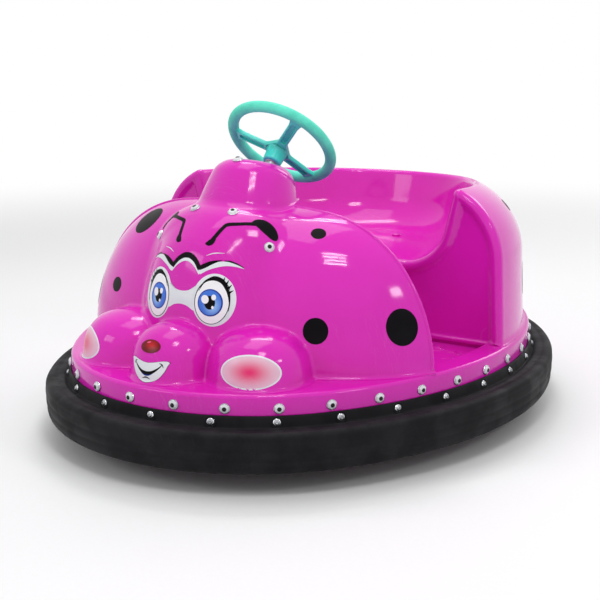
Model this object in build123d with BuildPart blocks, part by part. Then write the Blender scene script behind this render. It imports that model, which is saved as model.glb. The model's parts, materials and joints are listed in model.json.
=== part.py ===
from build123d import *
import os
from collections import namedtuple
from math import asin, cos, degrees, hypot, radians, sin, tan

# Bumper car with an inflated rubber ring, a moulded body and a steered drive wheel in front.
# Millimetres: X to the driver's left, Y to the rear, Z up from the floor under the ring's centre.

# Fits and clearances
running_gap = 0.05
seat_gap = 0.3

# Plan oval: two tangent arcs round the ends and two along the sides
half_width = 600
half_length = 752
end_radius_drop = 80

# Bumper ring, drawn as a section over inset from the plan oval
ring_bottom = 48
ring_depth = 90
ring_foot_inset = 9
ring_foot_radius = 24
ring_wall_bottom = 96
ring_top = 139
ring_top_radius = 13
ring_ledge_inset = 48
ring_ledge_rise = 3
ring_groove_drop = 7
ring_groove_width = 4
ring_lip_top = 162
ring_lip_width = 5
hoop_thickness = 5
hoop_bottom = 60

# Base tub: skirt, deck and sunk floor
skirt_inset = 64
skirt_bottom = 110
skin = 6
deck_top = 206
deck_edge_radius = 9
sill_width = 60
floor_drop = 16
floor_side_inset = 130
floor_half_length = 292
floor_edge_radius = 5
floor_corner_radius = 6

# Front moulding, with setbacks from the ring's front tip
hood_setback = 572
hood_side_inset = 98
hood_flank_inset = 72
hood_crown_inset = 272
hood_rear_setback = 492
brow_setback = 400
face_setback = 332
snout_setback = 192
cheek_setback = 262
cheek_x = 186
pod_setback = 490
pod_rear_setback = 567
pod_top = 652
pod_tilt = 15
lip_depth = 10
lip_width = 12

# Steering wheel: its plane leans back by the column's rake
wheel_setback = 616
wheel_z = 681
column_rake = 46
rim_outer_radius = 142
rim_tube_radius = 13.5
spoke_count = 3
first_spoke_angle = 75
spoke_width = 27
spoke_depth = 13
spoke_groove_width = 13
spoke_groove_depth = 7
spoke_dish = 24
spoke_edge_radius = 3.5
hub_edge_radius = 5
hub_top_radius = 27
hub_bottom_radius = 17
hub_top_depth = 12
hub_length = 62
shaft_radius = 10
ball_radius = 16
ball_gap = 0.4
bush_wall = 4
bush_length = 46
bush_reach = 130

# Drive wheel under the hood, on the kingpin
kingpin_setback = 400
kingpin_radius = 15
cup_wall = 5
cup_to_post = 15
post_wall = 7
post_flange_radius = 58
post_flange_thickness = 8
post_gusset_height = 60
post_gusset_reach = 30
post_gusset_thickness = 6

# Wheels
tyre_radius = 75
tyre_width = 46
tyre_shoulder = 9
hub_radius = 50
hub_width = 40
hub_web = 10
hub_boss_length = 50
hub_window_count = 5
hub_boss_radius = 20
hub_rim_thickness = 7
hub_window_radius = 6.5
hub_window_ring = 32
drive_axle_radius = 8
rear_axle_radius = 10
rear_wheel_inset = 300
rear_axle_inset = 372
axle_play = 1
axle_cap_width = 9
axle_cap_radius = 16

# Drive fork and motor
fork_clear = 6
fork_thickness = 8
fork_width = 52
fork_crown_bottom = 154
fork_crown_thickness = 12
motor_radius = 38
motor_length = 92
motor_z = 96
motor_cap_length = 12
motor_cap_radius = 30

# Chassis of rectangular tube
rail_to_wheel = 55
rail_width = 30
rail_height = 40
rail_front_inset = 237
rail_rear_inset = 212
cross_end_margin = 10
kingpin_to_cross = 167
axle_to_cross = 200
plate_thickness = 8
mount_pad_length = 44
riser_to_pad = 70
axle_to_front_pad = 50
axle_to_rear_pad = 120
bracket_thickness = 8
bracket_width = 60

# Rear body and its seat
riser_y = 40
body_inset = 80
body_draft = 2.5
body_top = 590
body_top_slope = 3.5
body_shoulder_radius = 178
riser_edge_radius = 20
seat_top = 387
seat_inset = 262
seat_draft = 20
seat_corner_radius = 85
seat_cap_radius = 12
seat_cap_height = 6
seat_cap_x = 55
seat_cap_margin = 135
plug_flange_radius = 16
plug_flange_thickness = 3

# Battery under the seat and the foot pedal
battery_width = 340
battery_length = 180
battery_height = 165
battery_corner_radius = 8
terminal_pitch = 240
terminal_radius = 9
terminal_height = 5
riser_to_battery = 160
pedal_to_rail = 115
pedal_setback = 392
pedal_width = 80
pedal_length = 120
pedal_thickness = 9
pedal_angle = 38
pedal_base_length = 110
pedal_base_thickness = 5
pedal_rib_count = 5
pedal_rib_pitch = 20
pedal_rib_width = 6
pedal_rib_height = 2.5
pedal_rib_margin = 6

# Lamps: caps round the skirt and over the hood
lamp_radius = 13
lamp_height = 7
lamp_base_height = 3
lamp_root = 4
rim_lamp_count = 34
rim_lamp_first = 32
rim_lamp_z = 177
brow_lamp_xs = (53, 154)
brow_lamp_setbacks = (339, 335)
pod_lamp_setback = 434

# Values that follow from the ones above
on_floor = (Align.CENTER, Align.CENTER, Align.MIN)
end_radius = half_width - end_radius_drop
end_centre = half_length - end_radius
side_centre = (end_centre**2 - (half_width - end_radius) ** 2) / (2 * (half_width - end_radius))
side_radius = half_width + side_centre
centre_gap = hypot(side_centre, end_centre)
floor_top = deck_top - floor_drop
floor_bottom = floor_top - skin
deck_bottom = deck_top - skin
rail_bottom = floor_bottom - rail_height
hoop_inset = ring_depth + seat_gap
frame_inset = hoop_inset + hoop_thickness + seat_gap
fork_inner = tyre_width / 2 + fork_clear
fork_outer = fork_inner + fork_thickness
post_radius = kingpin_radius + running_gap + post_wall
bush_radius = shaft_radius + running_gap + bush_wall
kingpin_y = kingpin_setback - half_length
wheel_y = wheel_setback - half_length
hood_y = hood_setback - half_length
hood_rear = hood_rear_setback - half_length
pod_rear = pod_rear_setback - half_length
pod_lamp_y = pod_lamp_setback - half_length
pedal_y = pedal_setback - half_length
rear_axle_y = half_length - rear_axle_inset
seat_cap_y = half_length - seat_inset - seat_cap_margin
rear_wheel_x = half_width - rear_wheel_inset
rail_x = rear_wheel_x - rail_to_wheel
pedal_x = rail_x - pedal_to_rail
rail_front = rail_front_inset - half_length
rail_rear = half_length - rail_rear_inset
front_cross_y = rail_front + cross_end_margin + rail_width / 2
plate_cross_y = kingpin_y + kingpin_to_cross
middle_cross_y = rear_axle_y - axle_to_cross
rear_cross_y = rail_rear - rail_width / 2
cross_ys = (front_cross_y, plate_cross_y, middle_cross_y, rear_cross_y)
rear_pad_ys = (rear_axle_y - axle_to_front_pad, rear_axle_y + axle_to_rear_pad)
mount_pad_ys = (front_cross_y, riser_y + riser_to_pad, *rear_pad_ys)
column_z = cos(radians(column_rake))
column_y = sin(radians(column_rake))
ball_reach = (wheel_y - kingpin_y) / column_y
ball_z = wheel_z - ball_reach * column_z
cup_radius = ball_radius + ball_gap + cup_wall
cup_bottom = ball_z - cup_radius
post_top = cup_bottom - cup_to_post
wheel_plane = Plane(origin=(0, wheel_y, wheel_z), x_dir=(1, 0, 0), z_dir=(0, column_y, column_z))

# A dome has its centre, its half length over its half width, and the points that its profile passes
# from the crown to the base, each a radius across X and a height
Dome = namedtuple("Dome", "x y length_ratio profile")
hood_half_width = half_width - hood_side_inset
hood_crown_radius = hood_half_width - hood_crown_inset
hood_flank_radius = hood_half_width - hood_flank_inset
hood_profile = ((0, 558), (hood_crown_radius, 545), (hood_flank_radius, 428), (hood_half_width, deck_top))
brow_profile = ((0, 567), (110, 546), (178, 480), (222, 340), (232, deck_top))
face_profile = ((0, 531), (137, 451), (180, 300), (188, deck_top))
snout_profile = ((0, 332), (52, 317), (88, 262), (93, deck_top))
cheek_profile = ((0, 329), (62, 313), (99, 256), (106, deck_top))
pod_profile = ((0, 0), (52, -5), (104, -42), (132, -125))
hood = Dome(0, hood_y, 0.64, hood_profile)
brow = Dome(0, brow_setback - half_length, 0.72, brow_profile)
face = Dome(0, face_setback - half_length, 0.70, face_profile)
snout = Dome(0, snout_setback - half_length, 1, snout_profile)
cheek_left = Dome(cheek_x, cheek_setback - half_length, 1, cheek_profile)
cheek_right = Dome(-cheek_x, cheek_setback - half_length, 1, cheek_profile)
pod = Dome(0, pod_setback - half_length, 1, pod_profile)
front_domes = (hood, brow, face, snout, cheek_left, cheek_right)


def plan_oval(inset):
    """Return the plan oval as a face, drawn in by inset."""
    join_x = (end_radius - inset) * side_centre / centre_gap
    join_y = end_centre + (end_radius - inset) * end_centre / centre_gap
    side_x = half_width - inset
    tip_y = half_length - inset
    with BuildSketch() as oval:
        with BuildLine():
            ThreePointArc((join_x, -join_y), (side_x, 0), (join_x, join_y))
            ThreePointArc((join_x, join_y), (0, tip_y), (-join_x, join_y))
            ThreePointArc((-join_x, join_y), (-side_x, 0), (-join_x, -join_y))
            ThreePointArc((-join_x, -join_y), (0, -tip_y), (join_x, -join_y))
        make_face()
    return oval.sketch


def oval_point(inset, run):
    """Return the point and the outward angle at a run along the oval from its left side's middle."""
    half_side = asin(end_centre / centre_gap)
    side_run = (side_radius - inset) * half_side
    end_run = (end_radius - inset) * (radians(90) - half_side)
    quarter = side_run + end_run
    turn, rest = divmod(run, 2 * quarter)
    flip = -1 if int(turn) % 2 else 1
    if rest <= side_run:
        angle = rest / (side_radius - inset)
        centre, radius = (-side_centre, 0), side_radius - inset
    elif rest <= side_run + 2 * end_run:
        angle = half_side + (rest - side_run) / (end_radius - inset)
        centre, radius = (0, end_centre), end_radius - inset
    else:
        angle = radians(180) - (2 * quarter - rest) / (side_radius - inset)
        centre, radius = (side_centre, 0), side_radius - inset
    x = flip * (centre[0] + radius * cos(angle))
    y = flip * (centre[1] + radius * sin(angle))
    return (x, y), degrees(angle) + (180 if flip < 0 else 0)


def oval_length(inset):
    """Return the length round the plan oval drawn in by inset."""
    half_side = asin(end_centre / centre_gap)
    return 4 * ((side_radius - inset) * half_side + (end_radius - inset) * (radians(90) - half_side))


def dome(form, inward=0):
    """Return a form's solid about Z, drawn in by inward on all sides but its base."""
    half = form.profile[-1][0]
    with BuildPart() as solid:
        with BuildSketch(Plane.YZ):
            with BuildLine():
                point = (0, form.profile[0][1] - inward)
                crown = point
                heading = (1, 0)
                for radius, height in form.profile[1:-1]:
                    arc = TangentArc(point, (radius - inward, height - inward), tangent=heading)
                    point, heading = arc @ 1, arc % 1
                foot = (half - inward, form.profile[-1][1])
                TangentArc(point, foot, tangent=heading)
                Polyline(foot, (0, foot[1]), crown)
            make_face()
        revolve(axis=Axis.Z)
    if form.length_ratio == 1:
        shape = solid.part
    else:
        ratio = (half * form.length_ratio - inward) / (half - inward)
        shape = scale(solid.part, by=(1, ratio, 1))
    return shape.moved(Location((form.x, form.y, 0)))


def behind(y):
    """Return a block that fills all space to the rear of y."""
    length = 2 * half_length
    block = Box(3 * half_width, length, length, align=(Align.CENTER, Align.MIN, Align.CENTER))
    return block.moved(Location((0, y, 0)))


def pod_solid(inward=0):
    """Return the steering pod's solid, tilted back and cut upright behind."""
    upright = dome(pod._replace(x=0, y=0), inward)
    tilted = upright.moved(Location((0, pod.y, pod_top), (-pod_tilt, 0, 0)))
    return tilted - behind(pod_rear - inward)


def joined_domes(inward=0):
    """Return the domes of the front moulding as one solid, drawn in by inward."""
    joined = dome(front_domes[0], inward)
    for form in front_domes[1:]:
        joined += dome(form, inward)
    return joined


def body_form(inward=0):
    """Return the rear body's outer form as a solid, drawn in by inward."""
    top = Plane(
        origin=(0, riser_y, body_top - inward),
        z_dir=(0, sin(radians(body_top_slope)), cos(radians(body_top_slope))),
    )
    with BuildPart() as form:
        with BuildSketch(Plane.XY.offset(deck_top)):
            add(plan_oval(body_inset + inward))
        extrude(amount=body_top, taper=body_draft)
        split(bisect_by=top, keep=Keep.BOTTOM)
        fillet(form.faces().sort_by(Axis.Z)[-1].edges(), body_shoulder_radius - inward)
        split(bisect_by=Plane.XZ.offset(-riser_y - inward), keep=Keep.BOTTOM)
    return form.part


def seat_form(outward=0):
    """Return the hollow that holds the seat as a solid, grown by outward."""
    with BuildPart() as form:
        with BuildSketch(Plane.XY.offset(seat_top - outward)):
            add(plan_oval(seat_inset - outward))
        extrude(amount=body_top, taper=-seat_draft)
        fillet(form.faces().sort_by(Axis.Z)[0].edges(), seat_corner_radius + outward)
    return form.part


def seated_form(inward=0):
    """Return the rear body's solid with the seat sunk into it, its arch rounded, drawn in by inward."""
    with BuildPart() as form:
        add(body_form(inward))
        add(seat_form(inward), mode=Mode.SUBTRACT)
        front = form.faces().filter_by(Axis.Y).sort_by(Axis.Y)[0]
        arch = front.edges().filter_by(lambda edge: edge.center().Z > deck_top + inward)
        fillet(arch, riser_edge_radius - inward)
    return form.part


def floor_outline(outward=0):
    """Return the sunk floor's plan: oval at its sides, rounded under the hood, straight at the riser."""
    with BuildSketch() as outline:
        add(plan_oval(skirt_inset + sill_width - outward))
        with Locations((0, riser_y + outward)):
            Rectangle(2 * half_width, half_length, align=(Align.CENTER, Align.MIN), mode=Mode.SUBTRACT)
        with BuildSketch(mode=Mode.INTERSECT):
            with Locations((0, hood_y)):
                Rectangle(2 * half_width, 2 * half_length, align=(Align.CENTER, Align.MIN))
                Ellipse(half_width - floor_side_inset + outward, floor_half_length + outward)
    return outline.sketch


def tyre_solid():
    """Return a tyre about Z, centred on the origin."""
    with BuildPart() as tyre:
        with BuildSketch(Plane.XZ) as section:
            with Locations(((hub_radius + seat_gap + tyre_radius) / 2, 0)):
                Rectangle(tyre_radius - hub_radius - seat_gap, tyre_width)
            fillet(section.vertices().group_by(Axis.X)[-1], tyre_shoulder)
        revolve(axis=Axis.Z)
    return tyre.part


def hub_solid(axle_radius):
    """Return a wheel hub about Z with a bore that runs on an axle of the given radius."""
    with BuildPart() as hub:
        with BuildSketch(Plane.XZ):
            with Locations((hub_radius - hub_rim_thickness / 2, 0)):
                Rectangle(hub_rim_thickness, hub_width)
            with Locations((hub_radius / 2, 0)):
                Rectangle(hub_radius, hub_web)
            with Locations((hub_boss_radius / 2, 0)):
                Rectangle(hub_boss_radius, hub_boss_length)
            with Locations(((axle_radius + running_gap) / 2, 0)):
                Rectangle(axle_radius + running_gap, 2 * hub_boss_length, mode=Mode.SUBTRACT)
        revolve(axis=Axis.Z)
        with PolarLocations(hub_window_ring, hub_window_count):
            Cylinder(hub_window_radius, hub_web, mode=Mode.SUBTRACT)
    return hub.part


def on_axle(solid, x, y):
    """Return a solid that was made about Z, turned onto the X axis at wheel height."""
    return solid.moved(Location((x, y, tyre_radius), (0, 90, 0)))


def lamp_solid(plane, depth=0):
    """Return an eight-sided lamp cap on a plane, with a root that reaches down by depth."""
    with BuildPart() as cap:
        with BuildSketch(plane.offset(-depth)):
            RegularPolygon(lamp_radius, 8, major_radius=False)
        extrude(amount=depth + lamp_height)
        top = cap.faces().sort_by(Axis(plane.origin, plane.z_dir))[-1]
        chamfer(top.edges(), lamp_height - lamp_base_height)
    return cap.part


def surface_plane(solid, x, y):
    """Return the plane that touches the top of a solid above a place on the floor."""
    hits = solid.find_intersection_points(Axis((x, y, 0), (0, 0, 1)))
    point, normal = max(hits, key=lambda hit: hit[0].Z)
    if normal.Z < 0:
        normal = -normal
    return Plane(origin=point, z_dir=normal)


# Rubber ring: an inflated tube with a ledge, a groove and a screwed band
band_x = half_width - skirt_inset + seat_gap
ledge_x = half_width - ring_ledge_inset
with BuildPart() as bumper_rubber:
    with BuildSketch(Plane.XZ) as ring_section:
        with BuildLine():
            Polyline(
                (half_width - ring_depth, ring_bottom),
                (half_width - ring_foot_inset, ring_bottom),
                (half_width, ring_wall_bottom),
                (half_width, ring_top),
                (ledge_x, ring_top + ring_ledge_rise),
                (ledge_x - ring_groove_width, ring_top + ring_ledge_rise - ring_groove_drop),
                (band_x + ring_lip_width, ring_lip_top),
                (band_x, ring_lip_top),
                (band_x, skirt_bottom - seat_gap),
                (half_width - ring_depth, skirt_bottom - seat_gap),
                close=True,
            )
        make_face()
        fillet(ring_section.vertices().group_by(Axis.X)[-1].sort_by(Axis.Y)[-1], ring_top_radius)
        fillet(ring_section.vertices().group_by(Axis.Y)[0].sort_by(Axis.X)[-1], ring_foot_radius)
    sweep(path=plan_oval(0).wire())
bumper_rubber.part.label = "bumper_rubber"

# Steel hoop that backs the rubber
with BuildPart() as bumper_hoop:
    with BuildSketch(Plane.XY.offset(hoop_bottom)):
        add(plan_oval(hoop_inset))
        add(plan_oval(hoop_inset + hoop_thickness), mode=Mode.SUBTRACT)
    extrude(amount=floor_bottom - hoop_bottom)
bumper_hoop.part.label = "bumper_hoop"

# Base tub: a skirt that turns down behind the rubber, a deck, and a floor sunk between its sills
with BuildPart() as floor_pocket:
    with BuildSketch(Plane.XY.offset(floor_top)):
        add(floor_outline())
    extrude(amount=2 * floor_drop)
    fillet(floor_pocket.faces().sort_by(Axis.Z)[0].edges(), floor_corner_radius)
with BuildPart() as base_tub:
    with BuildSketch(Plane.XY.offset(skirt_bottom)):
        add(plan_oval(skirt_inset))
    extrude(amount=deck_top - skirt_bottom)
    fillet(base_tub.faces().sort_by(Axis.Z)[-1].edges(), deck_edge_radius)
    with BuildSketch(Plane.XY.offset(skirt_bottom)):
        add(plan_oval(skirt_inset + skin))
    extrude(amount=deck_bottom - skirt_bottom, mode=Mode.SUBTRACT)
    with BuildSketch(Plane.XY.offset(floor_bottom)):
        add(floor_outline(skin))
    extrude(amount=deck_bottom - floor_bottom)
    add(floor_pocket.part, mode=Mode.SUBTRACT)
    deck = base_tub.faces().filter_by(Axis.Z).sort_by(Axis.Z)[-1]
    fillet(deck.inner_wires()[0].edges().filter_by(GeomType.LINE, reverse=True), floor_edge_radius)
    with Locations((0, kingpin_y, floor_bottom)):
        Cylinder(post_radius + seat_gap, floor_drop + skin, align=on_floor, mode=Mode.SUBTRACT)
base_tub.part.label = "base_tub"

# Front moulding: hood, brow, face and steering pod in one hollow shell, open to the rear with a lip
moulding_outside = joined_domes() - behind(hood_rear) + pod_solid()
lip_opening = dome(hood, skin + lip_width) + dome(brow, skin + lip_width)
moulding_inside = joined_domes(skin) - behind(hood_rear - lip_depth) + lip_opening + pod_solid(skin)
with BuildPart() as front_hood:
    add(moulding_outside)
    add(moulding_inside, mode=Mode.SUBTRACT)
    with Locations(wheel_plane):
        Cylinder(bush_radius + seat_gap, 2 * ball_reach, mode=Mode.SUBTRACT)
front_hood.part.label = "front_hood"

# Rear body: a hollow shell with the seat sunk into it
with BuildPart() as rear_body:
    add(seated_form())
    add(seated_form(skin), mode=Mode.SUBTRACT)
    with Locations((seat_cap_x, seat_cap_y, seat_top)):
        Cylinder(seat_cap_radius + seat_gap, 3 * skin, mode=Mode.SUBTRACT)
rear_body.part.label = "rear_body"

# Domed plug in the seat's drain hole, held by a flange under the skin
plug_bottom = seat_top - skin - seat_gap - plug_flange_thickness
with BuildPart() as seat_cap:
    with Locations((seat_cap_x, seat_cap_y, plug_bottom)):
        Cylinder(seat_cap_radius, seat_top + seat_cap_height - plug_bottom, align=on_floor)
    fillet(seat_cap.edges().sort_by(Axis.Z)[-1], seat_cap_height / 2)
    with Locations((seat_cap_x, seat_cap_y, plug_bottom)):
        Cylinder(plug_flange_radius, plug_flange_thickness, align=on_floor)
seat_cap.part.label = "seat_cap"

# Chassis: two rails and four cross tubes that reach the hoop
with BuildSketch() as frame_plan:
    for side in (-1, 1):
        with Locations((side * rail_x, (rail_front + rail_rear) / 2)):
            Rectangle(rail_width, rail_rear - rail_front)
    for y in cross_ys:
        with Locations((0, y)):
            Rectangle(2 * half_width, rail_width)
    add(plan_oval(frame_inset), mode=Mode.INTERSECT)
with BuildPart() as chassis_frame:
    with BuildSketch(Plane.XY.offset(rail_bottom)):
        add(frame_plan.sketch)
    extrude(amount=rail_height)
chassis_frame.part.label = "chassis_frame"

# Pivot plate: welded in the front bay of the chassis, round the steering post
with BuildPart() as pivot_plate:
    with BuildSketch(Plane.XY.offset(floor_bottom - plate_thickness)):
        with Locations((0, (front_cross_y + plate_cross_y) / 2)):
            Rectangle(2 * rail_x - rail_width, plate_cross_y - front_cross_y - rail_width)
        with Locations((0, kingpin_y)):
            Circle(post_radius + seat_gap, mode=Mode.SUBTRACT)
    extrude(amount=plate_thickness)
pivot_plate.part.label = "pivot_plate"

# Rubber pads between the rails and the deck
with BuildPart() as body_mounts:
    with BuildSketch(Plane.XY.offset(floor_bottom)):
        for side in (-1, 1):
            for y in mount_pad_ys:
                with Locations((side * rail_x, y)):
                    Rectangle(rail_width, mount_pad_length)
    extrude(amount=deck_bottom - floor_bottom)
body_mounts.part.label = "body_mounts"

# Steering post: a flanged tube that stands on the floor and holds the kingpin
with BuildPart() as gusset:
    with BuildSketch(Plane.XZ):
        with BuildLine():
            Polyline(
                (kingpin_radius + post_wall / 2, 0),
                (post_radius + post_gusset_reach, 0),
                (post_radius + post_gusset_reach, post_flange_thickness),
                (kingpin_radius + post_wall / 2, post_gusset_height),
                close=True,
            )
        make_face()
    extrude(amount=post_gusset_thickness / 2, both=True)
with BuildPart() as steering_post:
    with Locations((0, kingpin_y, fork_crown_bottom + fork_crown_thickness + seat_gap)):
        Cylinder(post_radius, post_top - fork_crown_bottom - fork_crown_thickness - seat_gap, align=on_floor)
    with Locations((0, kingpin_y, floor_top)):
        Cylinder(post_flange_radius, post_flange_thickness, align=on_floor)
    for turn in range(0, 360, 90):
        with Locations(Location((0, kingpin_y, floor_top), (0, 0, turn))):
            add(gusset.part)
    with Locations((0, kingpin_y, 0)):
        Cylinder(kingpin_radius + running_gap, 3 * post_top, mode=Mode.SUBTRACT)
steering_post.part.label = "steering_post"

# Bush that guides the steering shaft through the pod
with BuildPart(wheel_plane) as column_bush:
    with Locations((0, 0, -bush_reach)):
        Cylinder(bush_radius, bush_length, align=on_floor)
        Cylinder(shaft_radius + running_gap, bush_length, align=on_floor, mode=Mode.SUBTRACT)
column_bush.part.label = "column_bush"

# Steering wheel: rim, spoked hub and shaft, drawn in the wheel's own plane
with BuildPart(wheel_plane) as steering_rim:
    Torus(rim_outer_radius - rim_tube_radius, rim_tube_radius)
steering_rim.part.label = "steering_rim"

spoke_end = rim_outer_radius - rim_tube_radius
spoke_start = hub_bottom_radius / 2
with BuildPart() as spoke:
    spoke_plane = Plane(
        origin=(spoke_start, 0, -spoke_dish),
        x_dir=(0, 1, 0),
        z_dir=(spoke_end - spoke_start, 0, spoke_dish),
    )
    with BuildSketch(spoke_plane):
        RectangleRounded(spoke_width, spoke_depth, spoke_edge_radius)
        with Locations((0, -spoke_depth / 2)):
            Rectangle(spoke_groove_width, 2 * spoke_groove_depth, mode=Mode.SUBTRACT)
    extrude(amount=hypot(spoke_end - spoke_start, spoke_dish))
with BuildPart() as spider_hub:
    with Locations((0, 0, -hub_top_depth)):
        Cone(hub_bottom_radius, hub_top_radius, hub_length, align=(Align.CENTER, Align.CENTER, Align.MAX))
    fillet(spider_hub.edges().sort_by(Axis.Z)[-1], hub_edge_radius)
with BuildPart() as spider:
    add(spider_hub.part)
    with PolarLocations(0, spoke_count, start_angle=first_spoke_angle):
        add(spoke.part)
with BuildPart() as steering_spider:
    add(spider.part.moved(wheel_plane.location))
steering_spider.part.label = "steering_spider"

with BuildPart(wheel_plane) as steering_shaft:
    with Locations((0, 0, -ball_reach)):
        Cylinder(shaft_radius, ball_reach - hub_top_depth - hub_length, align=on_floor)
        Sphere(ball_radius)
steering_shaft.part.label = "steering_shaft"

# Kingpin with the cup that takes the steering shaft's ball
with BuildPart() as kingpin:
    with Locations((0, kingpin_y, fork_crown_bottom + fork_crown_thickness)):
        Cylinder(kingpin_radius, cup_bottom - fork_crown_bottom - fork_crown_thickness, align=on_floor)
    with Locations((0, kingpin_y, cup_bottom)):
        Cylinder(cup_radius, cup_radius, align=on_floor)
    with Locations((0, kingpin_y, ball_z)):
        Sphere(ball_radius + ball_gap, mode=Mode.SUBTRACT)
kingpin.part.label = "kingpin"

# Drive fork: a crown plate over two legs that end round the axle
with BuildPart() as drive_fork:
    with BuildSketch(Plane.XY.offset(fork_crown_bottom)):
        with Locations((0, kingpin_y)):
            Rectangle(2 * fork_outer, fork_width)
    extrude(amount=fork_crown_thickness)
    for x in (fork_inner, -fork_outer):
        with BuildSketch(Plane.YZ.offset(x)):
            with Locations((kingpin_y, (tyre_radius + fork_crown_bottom) / 2)):
                Rectangle(fork_width, fork_crown_bottom - tyre_radius)
            with Locations((kingpin_y, tyre_radius)):
                Circle(fork_width / 2)
                Circle(drive_axle_radius + seat_gap, mode=Mode.SUBTRACT)
        extrude(amount=fork_thickness)
drive_fork.part.label = "drive_fork"

with BuildPart() as drive_axle:
    with Locations(Location((-fork_outer - fork_thickness, kingpin_y, tyre_radius), (0, 90, 0))):
        Cylinder(drive_axle_radius, 2 * fork_outer + fork_thickness / 2, align=on_floor)
drive_axle.part.label = "drive_axle"

with BuildPart() as drive_motor:
    with Locations(Location((fork_outer, kingpin_y, motor_z), (0, 90, 0))):
        Cylinder(motor_radius, motor_length, align=on_floor)
    with Locations(Location((fork_outer + motor_length, kingpin_y, motor_z), (0, 90, 0))):
        Cylinder(motor_cap_radius, motor_cap_length, align=on_floor)
drive_motor.part.label = "drive_motor"

# Wheels
with BuildPart() as drive_tyre:
    add(on_axle(tyre_solid(), 0, kingpin_y))
drive_tyre.part.label = "drive_tyre"

with BuildPart() as drive_hub:
    add(on_axle(hub_solid(drive_axle_radius), 0, kingpin_y))
drive_hub.part.label = "drive_hub"

# Rear axle: one bar with a collar inside each wheel and a cap outside it
wheel_faces = (rear_wheel_x - hub_boss_length / 2 - axle_play, rear_wheel_x + hub_boss_length / 2 + axle_play)
bracket_start = rail_x + rail_width / 2
collar_start = bracket_start + bracket_thickness
with BuildPart() as rear_axle:
    with Locations(Location((0, rear_axle_y, tyre_radius), (0, 90, 0))):
        Cylinder(rear_axle_radius, 2 * (wheel_faces[1] + axle_cap_width))
    for side in (-1, 1):
        collar_middle = side * (collar_start + wheel_faces[0]) / 2
        cap_middle = side * (wheel_faces[1] + axle_cap_width / 2)
        with Locations(Location((collar_middle, rear_axle_y, tyre_radius), (0, 90, 0))):
            Cylinder(axle_cap_radius, wheel_faces[0] - collar_start)
        with Locations(Location((cap_middle, rear_axle_y, tyre_radius), (0, 90, 0))):
            Cylinder(axle_cap_radius, axle_cap_width)
rear_axle.part.label = "rear_axle"

# Axle brackets: plates on the outer faces of the rails
with BuildPart() as axle_brackets:
    for x in (bracket_start, -collar_start):
        with BuildSketch(Plane.YZ.offset(x)):
            with Locations((rear_axle_y, (tyre_radius + floor_bottom) / 2)):
                Rectangle(bracket_width, floor_bottom - tyre_radius)
            with Locations((rear_axle_y, tyre_radius)):
                Circle(bracket_width / 2)
                Circle(rear_axle_radius + seat_gap, mode=Mode.SUBTRACT)
        extrude(amount=bracket_thickness)
axle_brackets.part.label = "axle_brackets"

# Battery under the seat: a rounded case with two terminal posts
battery_y = riser_y + riser_to_battery + battery_length / 2
with BuildPart() as battery:
    with Locations((0, battery_y, deck_top)):
        Box(battery_width, battery_length, battery_height, align=on_floor)
    fillet(battery.edges().filter_by(Axis.Z), battery_corner_radius)
    with Locations((0, battery_y, deck_top + battery_height)):
        with GridLocations(terminal_pitch, 0, 2, 1):
            Cylinder(terminal_radius, terminal_height, align=on_floor)
battery.part.label = "battery"

# Foot pedal: a ribbed plate that rises from its base
rise_y = pedal_length * cos(radians(pedal_angle))
rise_z = pedal_length * sin(radians(pedal_angle))
pedal_face = Plane(
    origin=(pedal_x, pedal_y + pedal_base_length / 2, floor_top + pedal_thickness),
    x_dir=(1, 0, 0),
    z_dir=(0, sin(radians(pedal_angle)), cos(radians(pedal_angle))),
)
with BuildPart() as foot_pedal:
    with BuildSketch(Plane.YZ.offset(pedal_x - pedal_width / 2)):
        with BuildLine():
            Polyline(
                (pedal_y + pedal_base_length / 2, floor_top),
                (pedal_y + pedal_base_length / 2, floor_top + pedal_thickness),
                (pedal_y + pedal_base_length / 2 - rise_y, floor_top + pedal_thickness + rise_z),
                (pedal_y + pedal_base_length / 2 - rise_y, floor_top + rise_z),
                (pedal_y + pedal_base_length / 4, floor_top + pedal_base_thickness),
                (pedal_y - pedal_base_length / 2, floor_top + pedal_base_thickness),
                (pedal_y - pedal_base_length / 2, floor_top),
                close=True,
            )
        make_face()
    extrude(amount=pedal_width)
    with BuildSketch(pedal_face):
        with Locations((0, -pedal_length / 2)):
            with GridLocations(0, pedal_rib_pitch, 1, pedal_rib_count):
                Rectangle(pedal_width - 2 * pedal_rib_margin, pedal_rib_width)
    extrude(amount=pedal_rib_height)
foot_pedal.part.label = "foot_pedal"

# Lamps: round the skirt, across the brow and on the pod
with BuildPart() as rim_lamps:
    spacing = oval_length(skirt_inset) / rim_lamp_count
    for index in range(rim_lamp_count):
        (x, y), angle = oval_point(skirt_inset - seat_gap, rim_lamp_first + index * spacing)
        facing = (cos(radians(angle)), sin(radians(angle)), 0)
        add(lamp_solid(Plane(origin=(x, y, rim_lamp_z), z_dir=facing)))
rim_lamps.part.label = "rim_lamps"

with BuildPart() as brow_lamps:
    for x, setback in zip(brow_lamp_xs, brow_lamp_setbacks):
        for side in (-1, 1):
            add(lamp_solid(surface_plane(front_hood.part, side * x, setback - half_length), lamp_root))
    add(moulding_outside, mode=Mode.SUBTRACT)
brow_lamps.part.label = "brow_lamps"

with BuildPart() as pod_lamp:
    add(lamp_solid(surface_plane(front_hood.part, 0, pod_lamp_y), lamp_root))
    add(moulding_outside, mode=Mode.SUBTRACT)
pod_lamp.part.label = "pod_lamp"

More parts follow.
